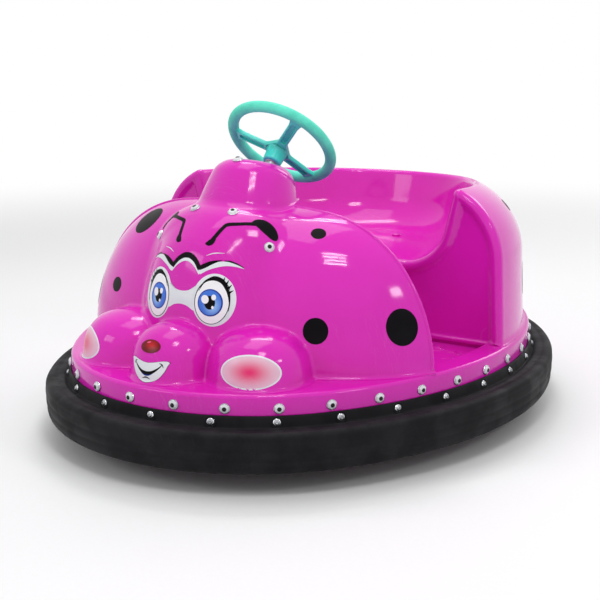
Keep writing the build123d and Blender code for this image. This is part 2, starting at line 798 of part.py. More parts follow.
# Rear wheels, one on each end of the axle
rear_wheel_parts = []
for side_name, x in (("left", rear_wheel_x), ("right", -rear_wheel_x)):
    with BuildPart() as rear_tyre:
        add(on_axle(tyre_solid(), x, rear_axle_y))
    rear_tyre.part.label = "rear_tyre_" + side_name
    with BuildPart() as rear_hub:
        add(on_axle(hub_solid(rear_axle_radius), x, rear_axle_y))
    rear_hub.part.label = "rear_hub_" + side_name
    rear_wheel_parts += [rear_tyre.part, rear_hub.part]

named_parts = rear_wheel_parts + [
    bumper_rubber.part,
    bumper_hoop.part,
    base_tub.part,
    front_hood.part,
    rear_body.part,
    seat_cap.part,
    chassis_frame.part,
    pivot_plate.part,
    body_mounts.part,
    steering_post.part,
    column_bush.part,
    steering_rim.part,
    steering_spider.part,
    steering_shaft.part,
    kingpin.part,
    drive_fork.part,
    drive_axle.part,
    drive_motor.part,
    drive_tyre.part,
    drive_hub.part,
    rear_axle.part,
    axle_brackets.part,
    battery.part,
    foot_pedal.part,
    rim_lamps.part,
    brow_lamps.part,
    pod_lamp.part,
]
os.makedirs("parts", exist_ok=True)
for part in named_parts:
    export_step(part, f"parts/{part.label}.step")
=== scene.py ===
"""Looks of a child's bumper car: moulded pink shells, printed face and spots, lamps, screws and all finishes.

Metres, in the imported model's own frame: X to the driver's left, Y to the rear, Z up from the floor.
"""

import json
import logging
import math
from collections.abc import Callable, Iterable, Sequence
from dataclasses import dataclass, replace
from enum import Enum

import bpy
import numpy as np
from mathutils import Matrix, Vector


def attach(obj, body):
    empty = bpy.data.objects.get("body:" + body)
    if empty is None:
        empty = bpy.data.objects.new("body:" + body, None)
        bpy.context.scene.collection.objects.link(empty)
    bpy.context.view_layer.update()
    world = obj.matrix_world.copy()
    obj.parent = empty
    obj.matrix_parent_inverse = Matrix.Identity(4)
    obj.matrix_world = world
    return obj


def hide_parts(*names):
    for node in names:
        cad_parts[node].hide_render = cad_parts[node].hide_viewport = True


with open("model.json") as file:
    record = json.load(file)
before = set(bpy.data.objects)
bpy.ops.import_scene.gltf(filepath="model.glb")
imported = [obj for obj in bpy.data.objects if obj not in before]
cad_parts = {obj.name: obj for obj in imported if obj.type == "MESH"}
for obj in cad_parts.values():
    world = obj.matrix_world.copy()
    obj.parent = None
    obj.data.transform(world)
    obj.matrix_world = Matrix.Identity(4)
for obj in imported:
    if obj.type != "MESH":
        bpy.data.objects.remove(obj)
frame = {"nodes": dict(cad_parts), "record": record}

LOG = logging.getLogger("bumper_car")
MM = 0.001
Points = np.ndarray
Faces = list[tuple[int, ...]]
Field = Callable[[Points], np.ndarray]
Colour = tuple[float, float, float, float]
Pair = tuple[float, float]
Triple = tuple[float, float, float]
Profile = tuple[Pair, ...]
Stroke = Sequence[Triple]
Wave = Callable[[float, int], float]
Socket = bpy.types.NodeSocket
Material = bpy.types.Material
Piece = bpy.types.Object

# A dome's field is divided by its slope, but by no less than this, so that it stays tame at the axis
LEAST_STEEPNESS = 0.3

# How a point is dropped onto a moulding: from this far over it, in this many steps, each a share of the way
DROP_HEIGHT = 0.05
DROP_ROUNDS = 40
DROP_SHARE = 0.9


def srgb(red: int, green: int, blue: int) -> Colour:
    """Return a screen colour of 0 to 255 a channel as the linear colour that a socket takes."""
    shares = (value / 255 for value in (red, green, blue))
    linear = (s / 12.92 if s <= 0.04045 else ((s + 0.055) / 1.055) ** 2.4 for s in shares)
    return (*linear, 1.0)


# Solid fields: below zero inside, above zero outside, near the true distance close to the surface


def rounded_meet(a: np.ndarray, b: np.ndarray, radius: float) -> np.ndarray:
    """Return the field of what two solids share, with the edge where they meet rounded to a radius."""
    past_a = np.maximum(a + radius, 0)
    past_b = np.maximum(b + radius, 0)
    return np.minimum(np.maximum(a, b), -radius) + np.hypot(past_a, past_b)


def rounded_join(a: np.ndarray, b: np.ndarray, radius: float) -> np.ndarray:
    """Return the field of two solids together, with the corner where they meet filled to a radius."""
    return -rounded_meet(-a, -b, radius)


@dataclass(frozen=True)
class PlanOval:
    """The car's plan: two tangent arcs round the ends and two along the sides."""

    half_width: float = 0.600
    half_length: float = 0.752
    end_drop: float = 0.080

    @property
    def end_radius(self) -> float:
        """Return the radius of the end arcs."""
        return self.half_width - self.end_drop

    @property
    def end_centre(self) -> float:
        """Return how far the end arcs' centres lie from the middle."""
        return self.half_length - self.end_radius

    @property
    def side_centre(self) -> float:
        """Return how far a side arc's centre lies past the middle."""
        return (self.end_centre**2 - self.end_drop**2) / (2 * self.end_drop)

    @property
    def half_side(self) -> float:
        """Return half the angle that a side arc takes."""
        return math.atan2(self.end_centre, self.side_centre)

    def distance(self, points: Points) -> np.ndarray:
        """Return each point's distance outside the oval in plan, below zero inside."""
        x, y = np.abs(points[:, 0]), np.abs(points[:, 1])
        at_end = np.arctan2(y, x + self.side_centre) > self.half_side
        to_side = np.hypot(x + self.side_centre, y) - (self.side_centre + self.half_width)
        to_end = np.hypot(x, y - self.end_centre) - self.end_radius
        return np.where(at_end, to_end, to_side)

    def length(self, inset: float) -> float:
        """Return the length round the oval drawn in by an inset."""
        side = (self.side_centre + self.half_width - inset) * self.half_side
        end = (self.end_radius - inset) * (math.pi / 2 - self.half_side)
        return 4 * (side + end)

    def place(self, inset: float, run: float) -> tuple[Vector, Vector]:
        """Return a point of the drawn-in oval and its outward direction.

        Args:
            inset: How far the oval is drawn in.
            run: The way along it from the middle of the left side, to the rear first.

        Returns:
            The point and the unit direction, both level.
        """
        side_radius = self.side_centre + self.half_width - inset
        end_radius = self.end_radius - inset
        side_run = side_radius * self.half_side
        end_run = end_radius * (math.pi / 2 - self.half_side)
        quarter = side_run + end_run
        turn, rest = divmod(run, 2 * quarter)
        flip = -1 if int(turn) % 2 else 1
        if rest <= side_run:
            angle, centre, radius = rest / side_radius, (-self.side_centre, 0.0), side_radius
        elif rest <= side_run + 2 * end_run:
            angle = self.half_side + (rest - side_run) / end_radius
            centre, radius = (0.0, self.end_centre), end_radius
        else:
            angle = math.pi - (2 * quarter - rest) / side_radius
            centre, radius = (self.side_centre, 0.0), side_radius
        outward = Vector((math.cos(angle), math.sin(angle), 0)) * flip
        return Vector((flip * centre[0], flip * centre[1], 0)) + outward * radius, outward


OVAL = PlanOval()


@dataclass(frozen=True)
class Dome:
    """A rounded form about an upright axis, stretched along Y, under a profile of tangent arcs.

    The profile's points are radius and height pairs from the crown to the base, in millimetres.
    """

    x: float
    y: float
    length_ratio: float
    profile: Profile

    def distance(self, points: Points) -> np.ndarray:
        """Return each point's distance outside the dome, below zero inside."""
        level_x = points[:, 0] - self.x * MM
        level_y = (points[:, 1] - self.y * MM) / self.length_ratio
        radius = np.maximum(np.hypot(level_x, level_y), 1e-9)
        height = points[:, 2]
        start, heading = np.array(self.profile[0]) * MM, np.array((1.0, 0.0))
        result = slope_r = slope_z = None
        for corner in self.profile[1:]:
            end = np.array(corner) * MM
            chord = end - start
            left = np.array((-heading[1], heading[0]))
            reach = chord @ chord / (2 * left @ chord)
            centre = start + left * reach
            side = -math.copysign(1, reach)
            from_r, from_z = radius - centre[0], height - centre[1]
            away = np.maximum(np.hypot(from_r, from_z), 1e-9)
            arc = (side * (away - abs(reach)), side * from_r / away, side * from_z / away)
            if result is None:
                result, slope_r, slope_z = arc
            else:
                past = (radius - start[0]) * heading[0] + (height - start[1]) * heading[1] > 0
                result = np.where(past, arc[0], result)
                slope_r = np.where(past, arc[1], slope_r)
                slope_z = np.where(past, arc[2], slope_z)
            unit = chord / math.hypot(*chord)
            start, heading = end, 2 * (heading @ unit) * unit - heading
        squeezed = slope_r / radius
        slope_x, slope_y = squeezed * level_x, squeezed * level_y / self.length_ratio
        steepness = np.sqrt(slope_x**2 + slope_y**2 + slope_z**2)
        return result / np.maximum(steepness, LEAST_STEEPNESS)


def slope_of(solid: Field, points: Points) -> Points:
    """Return the field's gradient at each point."""
    step = 1e-4
    columns = []
    for axis in range(3):
        shift = np.zeros(3)
        shift[axis] = step
        columns.append((solid(points + shift) - solid(points - shift)) / (2 * step))
    return np.stack(columns, 1)


def settle(solid: Field, points: Points, reach: float = 0.006, rounds: int = 5) -> Points:
    """Return the points moved onto the solid's surface, each round by no more than a reach."""
    for _ in range(rounds):
        slope = slope_of(solid, points)
        size = np.maximum((slope**2).sum(1), 1e-6)
        move = (solid(points) / size)[:, None] * slope
        length = np.maximum(np.linalg.norm(move, axis=1), 1e-12)[:, None]
        points = points - move * np.minimum(1, reach / length)
    return points


def unit_rows(rows: Points) -> Points:
    """Return the rows scaled to length one."""
    return rows / np.maximum(np.linalg.norm(rows, axis=1), 1e-12)[:, None]


def skin_of(solid: Field, low: Sequence[float], high: Sequence[float], step: float) -> tuple[Points, Points]:
    """Return the surface of a solid field as points and quads, by surface nets.

    Args:
        solid: The field, below zero inside.
        low: The lowest corner of the space that is searched.
        high: Its highest corner.
        step: The size of a cell.

    Returns:
        The surface's points and its quads, which turn anticlockwise seen from outside.
    """
    axes = [np.arange(a, b + step, step) for a, b in zip(low, high)]
    counts = np.array([len(axis) for axis in axes])
    grid = np.stack(np.meshgrid(*axes, indexing="ij"), -1).reshape(-1, 3)
    values = solid(grid).reshape(counts)
    strides = np.array((counts[1] * counts[2], counts[2], 1))
    cells, crossings, quads = [], [], []
    for axis in range(3):
        near = np.take(values, range(counts[axis] - 1), axis)
        far = np.take(values, range(1, counts[axis]), axis)
        index = np.argwhere((near < 0) != (far < 0))
        u, v = (axis + 1) % 3, (axis + 2) % 3
        within = (index[:, u] > 0) & (index[:, u] < counts[u] - 1)
        within &= (index[:, v] > 0) & (index[:, v] < counts[v] - 1)
        index = index[within]
        start, end = near[tuple(index.T)], far[tuple(index.T)]
        place = index.astype(float)
        place[:, axis] += start / (start - end)
        around = []
        for du, dv in ((0, 0), (-1, 0), (-1, -1), (0, -1)):
            cell = index.copy()
            cell[:, u] += du
            cell[:, v] += dv
            around.append(cell @ strides)
        quad = np.stack(around, 1)
        quads.append(np.where((start < 0)[:, None], quad, quad[:, ::-1]))
        cells += around
        crossings += [place] * 4
    names, numbers = np.unique(np.concatenate(cells), return_inverse=True)
    numbers = numbers.ravel()
    columns = np.concatenate(crossings).T
    totals = np.stack([np.bincount(numbers, column, len(names)) for column in columns], 1)
    points = totals / np.bincount(numbers, minlength=len(names))[:, None] * step + np.array(low)
    return points, np.searchsorted(names, np.concatenate(quads))


def trimmed(points: Points, quads: Points, cut: Field) -> tuple[Points, Faces]:
    """Return a surface with all of it dropped where the cut field is above zero.

    Args:
        points: The surface's points.
        quads: Its quads.
        cut: The field that says what goes.

    Returns:
        The points and faces that are left, with new points along the cut.
    """
    values = cut(points)
    kept = values < 0
    inside = kept[quads].sum(1)
    faces: Faces = [tuple(quad) for quad in quads[inside == 4].tolist()]
    mixed = quads[(inside > 0) & (inside < 4)]
    extra: list[Points] = []
    made: dict[tuple[int, int], int] = {}

    def crossing(a: int, b: int) -> int:
        """Return the number of the point where an edge meets the cut."""
        key = (min(a, b), max(a, b))
        if key not in made:
            share = values[key[0]] / (values[key[0]] - values[key[1]])
            made[key] = len(points) + len(extra)
            extra.append(points[key[0]] * (1 - share) + points[key[1]] * share)
        return made[key]

    for corners in np.concatenate((mixed[:, [0, 1, 2]], mixed[:, [0, 2, 3]])).tolist():
        face = []
        for a, b in zip(corners, corners[1:] + corners[:1]):
            if kept[a]:
                face.append(a)
            if kept[a] != kept[b]:
                face.append(crossing(a, b))
        if len(face) > 2:
            faces.append(tuple(face))
    every = np.concatenate((points, np.array(extra).reshape(-1, 3)))
    used = np.unique(np.concatenate([np.array(face) for face in faces]))
    renumber = np.full(len(every), -1)
    renumber[used] = np.arange(len(used))
    return every[used], [tuple(renumber[list(face)].tolist()) for face in faces]


def moulded(solid: Field, cut: Field, low: Triple, high: Triple, cell: float) -> tuple[Points, Faces, Points]:
    """Return a moulding's outer surface.

    Args:
        solid: The field, below zero inside.
        cut: The field that is above zero where the moulding is open.
        low: The lowest corner of the space that is searched.
        high: Its highest corner.
        cell: The size of a cell.

    Returns:
        The surface's points, its faces and the outward direction at each point.
    """
    points, quads = skin_of(solid, low, high, cell)
    points, faces = trimmed(settle(solid, points), quads, cut)
    return points, faces, unit_rows(slope_of(solid, points))


def border_edges(faces: Faces) -> list[tuple[int, int]]:
    """Return the edges that only one face has, in that face's direction."""
    directed = {(a, b) for face in faces for a, b in zip(face, face[1:] + face[:1])}
    return [(a, b) for a, b in directed if (b, a) not in directed]


def border_loops(faces: Faces) -> list[list[int]]:
    """Return the surface's borders as lists of point numbers in order."""
    following = dict(border_edges(faces))
    loops = []
    while following:
        start, number = following.popitem()
        loop = [start]
        while number in following:
            loop.append(number)
            number = following.pop(number)
        loops.append(loop)
    return loops


def woven(rows: int, wide: int, closed: bool = False, turned: bool = False) -> Faces:
    """Return the quads of a sheet whose points lie in equal rows that each close on themselves.

    Args:
        rows: How many rows of points there are.
        wide: How many points a row has.
        closed: Whether the last row joins the first.
        turned: Whether the quads face the other way.

    Returns:
        The quads, row by row.
    """
    faces: Faces = []
    for row in range(rows if closed else rows - 1):
        after = (row + 1) % rows
        for k in range(wide):
            following = (k + 1) % wide
            a, b = row * wide + k, row * wide + following
            c, d = after * wide + following, after * wide + k
            faces.append((a, d, c, b) if turned else (a, b, c, d))
    return faces


def new_object(name: str, points: Iterable, faces: Faces, material: Material) -> Piece:
    """Return a smooth mesh object of points and faces, in one material."""
    mesh = bpy.data.meshes.new(name)
    mesh.from_pydata([tuple(point) for point in points], [], faces)
    mesh.materials.append(material)
    mesh.shade_smooth()
    piece = bpy.data.objects.new(name, mesh)
    bpy.context.scene.collection.objects.link(piece)
    return piece


def shell_object(name: str, points: Points, faces: Faces, normals: Points, wall: float,
                 material: Material) -> Piece:
    """Return a surface thickened inward to a closed shell with exact smooth normals.

    Args:
        name: The new object's name.
        points: The outer surface's points.
        faces: Its faces.
        normals: The outward direction at each point.
        wall: The shell's thickness.
        material: What it is made of.

    Returns:
        The shell.
    """
    count = len(points)
    inner = points - normals * wall
    all_points, all_normals = [points, inner], [normals, -normals]
    all_faces = faces + [tuple(count + number for number in reversed(face)) for face in faces]
    edges = border_edges(faces)
    start = 2 * count
    for first in range(start, start + 4 * len(edges), 4):
        all_faces.append((first + 1, first, first + 2, first + 3))
    ends = np.array(edges).reshape(-1, 2)
    if len(ends):
        away = unit_rows(np.cross(points[ends[:, 1]] - points[ends[:, 0]], normals[ends[:, 0]]))
        rim = np.stack((points[ends[:, 0]], points[ends[:, 1]], inner[ends[:, 0]], inner[ends[:, 1]]), 1)
        all_points.append(rim.reshape(-1, 3))
        all_normals.append(np.repeat(away, 4, 0))
    piece = new_object(name, np.concatenate(all_points), all_faces, material)
    piece.data.normals_split_custom_set_from_vertices(np.concatenate(all_normals).tolist())
    return piece


# Shader building


class Graph:
    """Adds nodes to one shader tree and joins them."""

    def __init__(self, tree: bpy.types.NodeTree) -> None:
        """Keep the tree."""
        self.tree = tree

    def add(self, kind: str, inputs: dict | None = None, **settings: object) -> bpy.types.Node:
        """Return a new node.

        Args:
            kind: The node's type without its ShaderNode prefix.
            inputs: Values or sockets for its inputs, by name or number.
            settings: The node's own settings.

        Returns:
            The node.
        """
        node = self.tree.nodes.new("ShaderNode" + kind)
        for name, value in settings.items():
            setattr(node, name, value)
        for key, value in (inputs or {}).items():
            if isinstance(value, Socket):
                self.tree.links.new(value, node.inputs[key])
            else:
                node.inputs[key].default_value = value
        return node

    def math(self, operation: str, a: object, b: object = 0.5, c: object = 0.5) -> Socket:
        """Return the outcome of a sum on two or three values."""
        return self.add("Math", {0: a, 1: b, 2: c}, operation=operation).outputs[0]

    def ramp(self, value: Socket, low: float, high: float,
             to_low: object = 0.0, to_high: object = 1.0) -> Socket:
        """Return a value mapped smoothly from one range to another, held at its ends."""
        inputs = {"Value": value, "From Min": low, "From Max": high, "To Min": to_low, "To Max": to_high}
        return self.add("MapRange", inputs, interpolation_type="SMOOTHSTEP").outputs[0]

    def mix(self, share: object, a: object, b: object) -> Socket:
        """Return two colours mixed by a share of the second."""
        node = self.add("Mix", {0: share, 6: a, 7: b}, data_type="RGBA")
        return node.outputs[2]

    def noise(self, place: Socket, scale: object, detail: float = 3.0,
              roughness: float = 0.55) -> Socket:
        """Return noise between 0 and 1 at a place."""
        inputs = {"Vector": place, "Scale": scale, "Detail": detail, "Roughness": roughness}
        return self.add("TexNoise", inputs).outputs[0]


def new_group(name: str, inputs: dict[str, tuple[str, object]], outputs: dict[str, str],
              build: Callable[[Graph, dict], dict]) -> bpy.types.NodeTree:
    """Return a shader node group with named inputs and outputs.

    Args:
        name: The group's name.
        inputs: The kind and default of each input.
        outputs: The kind of each output.
        build: Makes the nodes from the inputs' sockets, and gives the outputs' sockets.

    Returns:
        The group.
    """
    tree = bpy.data.node_groups.new(name, "ShaderNodeTree")
    for title, (kind, default) in inputs.items():
        socket = tree.interface.new_socket(title, in_out="INPUT", socket_type="NodeSocket" + kind)
        if default is not None:
            socket.default_value = default
    for title, kind in outputs.items():
        tree.interface.new_socket(title, in_out="OUTPUT", socket_type="NodeSocket" + kind)
    graph = Graph(tree)
    entry = tree.nodes.new("NodeGroupInput")
    made = build(graph, {title: entry.outputs[title] for title in inputs})
    leave = tree.nodes.new("NodeGroupOutput")
    for title, socket in made.items():
        tree.links.new(socket, leave.inputs[title])
    return tree


def grain_nodes(graph: Graph, given: dict) -> dict:
    """Fine grain: two sizes of noise as a height, and a slow unevenness as a tone."""
    fine = graph.noise(given["Place"], given["Scale"], 4.0)
    coarse_scale = graph.math("MULTIPLY", given["Scale"], 0.12)
    coarse = graph.noise(given["Place"], coarse_scale, 2.0)
    height = graph.math("ADD", graph.math("MULTIPLY", fine, 0.65), graph.math("MULTIPLY", coarse, 0.35))
    tone_scale = graph.math("MULTIPLY", given["Scale"], 0.02)
    tone = graph.ramp(graph.noise(given["Place"], tone_scale, 3.0), 0.35, 0.65)
    return {"Height": height, "Tone": tone}


def scratch_nodes(graph: Graph, given: dict) -> dict:
    """Thin scratches: two sets of stretched noise cut to their narrow crests."""
    masks = []
    for turn, stretch in ((0.6, 34.0), (-0.9, 21.0)):
        mapping = {"Vector": given["Place"], "Rotation": (turn, turn, turn), "Scale": (1.0, stretch, 1.0)}
        place = graph.add("Mapping", mapping).outputs[0]
        streak = graph.noise(place, given["Scale"], 2.0)
        crest = graph.math("ABSOLUTE", graph.math("SUBTRACT", streak, 0.5))
        masks.append(graph.ramp(crest, 0.0, 0.012, 1.0, 0.0))
    patch_scale = graph.math("MULTIPLY", given["Scale"], 0.6)
    patches = graph.ramp(graph.noise(given["Place"], patch_scale, 2.0), 0.5, 0.7)
    both = graph.math("MAXIMUM", masks[0], masks[1])
    return {"Mask": graph.math("MULTIPLY", graph.math("MULTIPLY", both, patches), given["Amount"])}


def dust_nodes(graph: Graph, given: dict) -> dict:
    """Dust and grime: patches that gather low down and on faces that look up."""
    parts = graph.add("SeparateXYZ", {0: given["Place"]})
    facing = graph.add("SeparateXYZ", {0: graph.add("NewGeometry").outputs["Normal"]})
    low = graph.ramp(parts.outputs[2], given["Low"], given["High"], 1.0, 0.0)
    level = graph.ramp(facing.outputs[2], 0.3, 1.0, 0.25, 1.0)
    patches = graph.ramp(graph.noise(given["Place"], 9.0, 6.0, 0.65), 0.35, 0.75)
    speckle = graph.ramp(graph.noise(given["Place"], 160.0, 3.0), 0.52, 0.72)
    soft = graph.math("MULTIPLY", graph.math("MULTIPLY", patches, low), level)
    speckled = graph.math("ADD", soft, graph.math("MULTIPLY", speckle, soft))
    return {"Mask": graph.math("MULTIPLY", speckled, given["Amount"])}


class Effects:
    """The shader groups that several finishes share."""

    def __init__(self) -> None:
        """Build each group once."""
        place, amount, mask = {"Place": ("Vector", None)}, {"Amount": ("Float", 1.0)}, {"Mask": "Float"}
        grain = {**place, "Scale": ("Float", 400.0)}
        scratches = {**place, "Scale": ("Float", 6.0), **amount}
        dust = {**place, "Low": ("Float", 0.05), "High": ("Float", 0.4), **amount}
        self.grain = new_group("moulded_grain", grain, {"Height": "Float", "Tone": "Float"}, grain_nodes)
        self.scratches = new_group("fine_scratches", scratches, mask, scratch_nodes)
        self.dust = new_group("settled_dust", dust, mask, dust_nodes)


@dataclass(frozen=True)
class Finish:
    """One surface finish: its colours, gloss, grain, scratches and dust."""

    name: str
    colour: Colour
    tone: Colour
    roughness: float = 0.4
    roughness_spread: float = 0.1
    metallic: float = 0.0
    coat: float = 0.0
    coat_roughness: float = 0.03
    grain_scale: float = 400.0
    grain_depth: float = 0.00005
    scratches: float = 0.3
    scratch_colour: Colour = srgb(170, 170, 170)
    dust: float = 0.15
    dust_colour: Colour = srgb(150, 140, 130)
    dust_low: float = 0.05
    dust_high: float = 0.4
    transmission: float = 0.0
    specular: float = 0.5
    scratch_roughness: float = 0.25
    scratch_depth: float = 0.6
    dust_roughness: float = 0.5

    def build(self, effects: Effects) -> Material:
        """Return the finish as a material."""
        material = bpy.data.materials.new(self.name)
        material.use_nodes = True
        tree = material.node_tree
        tree.nodes.clear()
        graph = Graph(tree)
        place = graph.add("TexCoord").outputs["Object"]
        grain = graph.add("Group", {"Place": place, "Scale": self.grain_scale}, node_tree=effects.grain)
        worn = {"Place": place, "Amount": self.scratches}
        scratch = graph.add("Group", worn, node_tree=effects.scratches).outputs["Mask"]
        settled = {"Place": place, "Low": self.dust_low, "High": self.dust_high, "Amount": self.dust}
        dust = graph.add("Group", settled, node_tree=effects.dust).outputs["Mask"]
        colour = self.colour_nodes(graph, place, grain.outputs["Tone"])
        colour = graph.mix(scratch, colour, self.scratch_colour)
        colour = graph.mix(dust, colour, self.dust_colour)
        spread = graph.math("MULTIPLY", grain.outputs["Tone"], self.roughness_spread)
        rough = graph.math("ADD", spread, self.roughness)
        rough = graph.math("ADD", rough, graph.math("MULTIPLY", scratch, self.scratch_roughness))
        rough = graph.math("ADD", rough, graph.math("MULTIPLY", dust, self.dust_roughness))
        rough = graph.math("MINIMUM", rough, 1.0)
        depth = graph.math("MULTIPLY", scratch, self.scratch_depth)
        height = graph.math("SUBTRACT", grain.outputs["Height"], depth)
        bump = graph.add("Bump", {"Strength": 1.0, "Distance": self.grain_depth, "Height": height})
        shader = graph.add("BsdfPrincipled", {
            "Base Color": colour, "Roughness": rough, "Metallic": self.metallic, "Normal": bump.outputs[0],
            "Coat Weight": self.coat, "Coat Roughness": self.coat_roughness,
            "Specular IOR Level": self.specular, "Transmission Weight": self.transmission,
        })
        graph.add("OutputMaterial", {"Surface": shader.outputs[0]})
        return material

    def colour_nodes(self, graph: Graph, place: Socket, tone: Socket) -> Socket:
        """Return the base colour before scratches and dust."""
        return graph.mix(tone, self.colour, self.tone)


@dataclass(frozen=True)
class RadialFinish(Finish):
    """A print that fades from its middle to its edge, over an ellipse in the piece's own frame; on the nose
    the fade is painted shading.
    """

    middle: Colour = srgb(255, 255, 255)
    reach: Pair = (0.03, 0.03)
    soft: float = 1.0
    shift: Pair = (0.0, 0.0)

    def colour_nodes(self, graph: Graph, place: Socket, tone: Socket) -> Socket:
        """Return the fade from the middle's colour to the edge's."""
        (wide, high), (right, up) = self.reach, self.shift
        start, scale = (-right / wide, -up / high, 0), (1 / wide, 1 / high, 0)
        mapping = {"Vector": place, "Location": start, "Scale": scale}
        spread = graph.add("Mapping", mapping).outputs[0]
        away = graph.add("VectorMath", {0: spread}, operation="LENGTH").outputs["Value"]
        edge = graph.mix(tone, self.colour, self.tone)
        return graph.mix(graph.ramp(away, 0.0, self.soft), self.middle, edge)


FINISHES = (
    Finish("pink_shell", srgb(224, 32, 188), srgb(218, 27, 180), 0.07, 0.035,
           grain_scale=180, grain_depth=0.00003, scratches=0.10, scratch_colour=srgb(236, 150, 214),
           dust=0.08, dust_colour=srgb(150, 96, 132), dust_low=0.1, dust_high=0.3, specular=0.35),
    Finish("ring_rubber", srgb(22, 22, 25), srgb(14, 14, 17), 0.5, 0.15, grain_scale=700,
           grain_depth=0.00012, scratches=0.15, scratch_colour=srgb(58, 57, 58), dust=0.42,
           dust_colour=srgb(72, 70, 73), dust_high=0.24, specular=0.12),
    Finish("frame_paint", srgb(26, 26, 28), srgb(36, 35, 35), 0.4, 0.15, scratches=0.7, dust=0.4),
    Finish("mount_rubber", srgb(24, 24, 25), srgb(32, 32, 33), 0.7, 0.1, scratches=0.1, dust=0.4,
           specular=0.2),
    Finish("bush_plastic", srgb(20, 20, 22), srgb(28, 28, 30), 0.4, 0.1, scratches=0.2, dust=0.05,
           specular=0.2),
    Finish("axle_steel", srgb(176, 178, 182), srgb(150, 152, 156), 0.3, 0.15, metallic=1.0, scratches=0.6,
           dust=0.3),
    Finish("battery_case", srgb(34, 36, 40), srgb(44, 46, 50), 0.5, 0.1, scratches=0.3, dust=0.5),
    Finish("pedal_rubber", srgb(26, 26, 27), srgb(36, 35, 35), 0.6, 0.15, scratches=0.4, dust=0.3,
           specular=0.2),
    Finish("lamp_clear", srgb(242, 244, 248), srgb(228, 232, 238), 0.08, 0.05, transmission=0.12,
           scratches=0.05, dust=0.0),
    Finish("wheel_green", srgb(104, 234, 208), srgb(92, 222, 196), 0.55, 0.1, grain_scale=1400,
           grain_depth=0.00012, scratches=0.1, scratch_colour=srgb(130, 212, 196), dust=0.06,
           dust_colour=srgb(96, 170, 158), dust_low=0.5, dust_high=0.9, specular=0.25),
    Finish("spoke_green", srgb(62, 226, 210), srgb(54, 214, 198), 0.26, 0.1, coat=0.2, grain_scale=600,
           scratches=0.25, scratch_colour=srgb(130, 226, 210), dust=0.05),
    Finish("shaft_chrome", srgb(214, 216, 220), srgb(190, 192, 198), 0.12, 0.1, metallic=1.0, scratches=0.4,
           dust=0.05),
    Finish("motor_case", srgb(64, 66, 70), srgb(54, 56, 60), 0.45, 0.1, scratches=0.3, dust=0.4),
    Finish("tyre", srgb(30, 30, 31), srgb(42, 41, 40), 0.75, 0.1, grain_scale=900, grain_depth=0.0001,
           scratches=0.2, dust=0.6, specular=0.25),
    Finish("hub_aluminium", srgb(186, 188, 192), srgb(168, 170, 174), 0.4, 0.1, metallic=1.0, scratches=0.3,
           dust=0.3),
    Finish("print_black", srgb(8, 6, 10), srgb(12, 10, 14), 0.34, 0.08, scratches=0.12,
           scratch_colour=srgb(40, 38, 42), dust=0.02, specular=0.06),
    Finish("print_white", srgb(250, 250, 252), srgb(245, 246, 249), 0.25, 0.08, scratches=0.1, dust=0.05,
           specular=0.3),
    Finish("print_pale", srgb(232, 237, 240), srgb(222, 230, 234), 0.25, 0.08, scratches=0.1, dust=0.05,
           specular=0.3),
    Finish("print_navy", srgb(24, 52, 160), srgb(18, 40, 136), 0.25, 0.08, scratches=0.1, dust=0.03,
           specular=0.2),
    RadialFinish("print_blue", srgb(74, 126, 224), srgb(62, 112, 214), 0.25, 0.08, scratches=0.1, dust=0.03,
                 specular=0.2, middle=srgb(158, 202, 250), reach=(0.028, 0.028), soft=0.95,
                 shift=(0.0, -0.012)),
    # The nose's red fades from a bright middle, set up and to the right, to a dark edge: painted shading of a
    # dome over the red print.
    RadialFinish("print_red_painted_shade", srgb(112, 6, 18), srgb(104, 5, 16), 0.2, 0.08, scratches=0.1, dust=0.03,
                 specular=0.2, middle=srgb(190, 28, 36), reach=(0.023, 0.0155), soft=1.0,
                 shift=(0.003, 0.003)),
    RadialFinish("print_blush", srgb(232, 196, 214), srgb(228, 186, 208), 0.2, 0.08, scratches=0.1, dust=0.03,
                 specular=0.3, middle=srgb(232, 44, 112), reach=(0.072, 0.042), soft=0.92),
)


class Materials:
    """All the car's materials by name."""

    def __init__(self) -> None:
        """Build the shared effects and each finish."""
        effects = Effects()
        self.made = {finish.name: finish.build(effects) for finish in FINISHES}

    def __getitem__(self, name: str) -> Material:
        """Return a material by its name."""
        return self.made[name]

    def dress_frame(self) -> None:
        """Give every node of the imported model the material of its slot."""
        for subpart in frame["record"]["subparts"]:
            node = frame["nodes"][subpart["node"]]
            node.data.materials.clear()
            node.data.materials.append(self[subpart["material_slot"]])
            LOG.info("dressed %s in %s", subpart["node"], subpart["material_slot"])


# Moulded shells


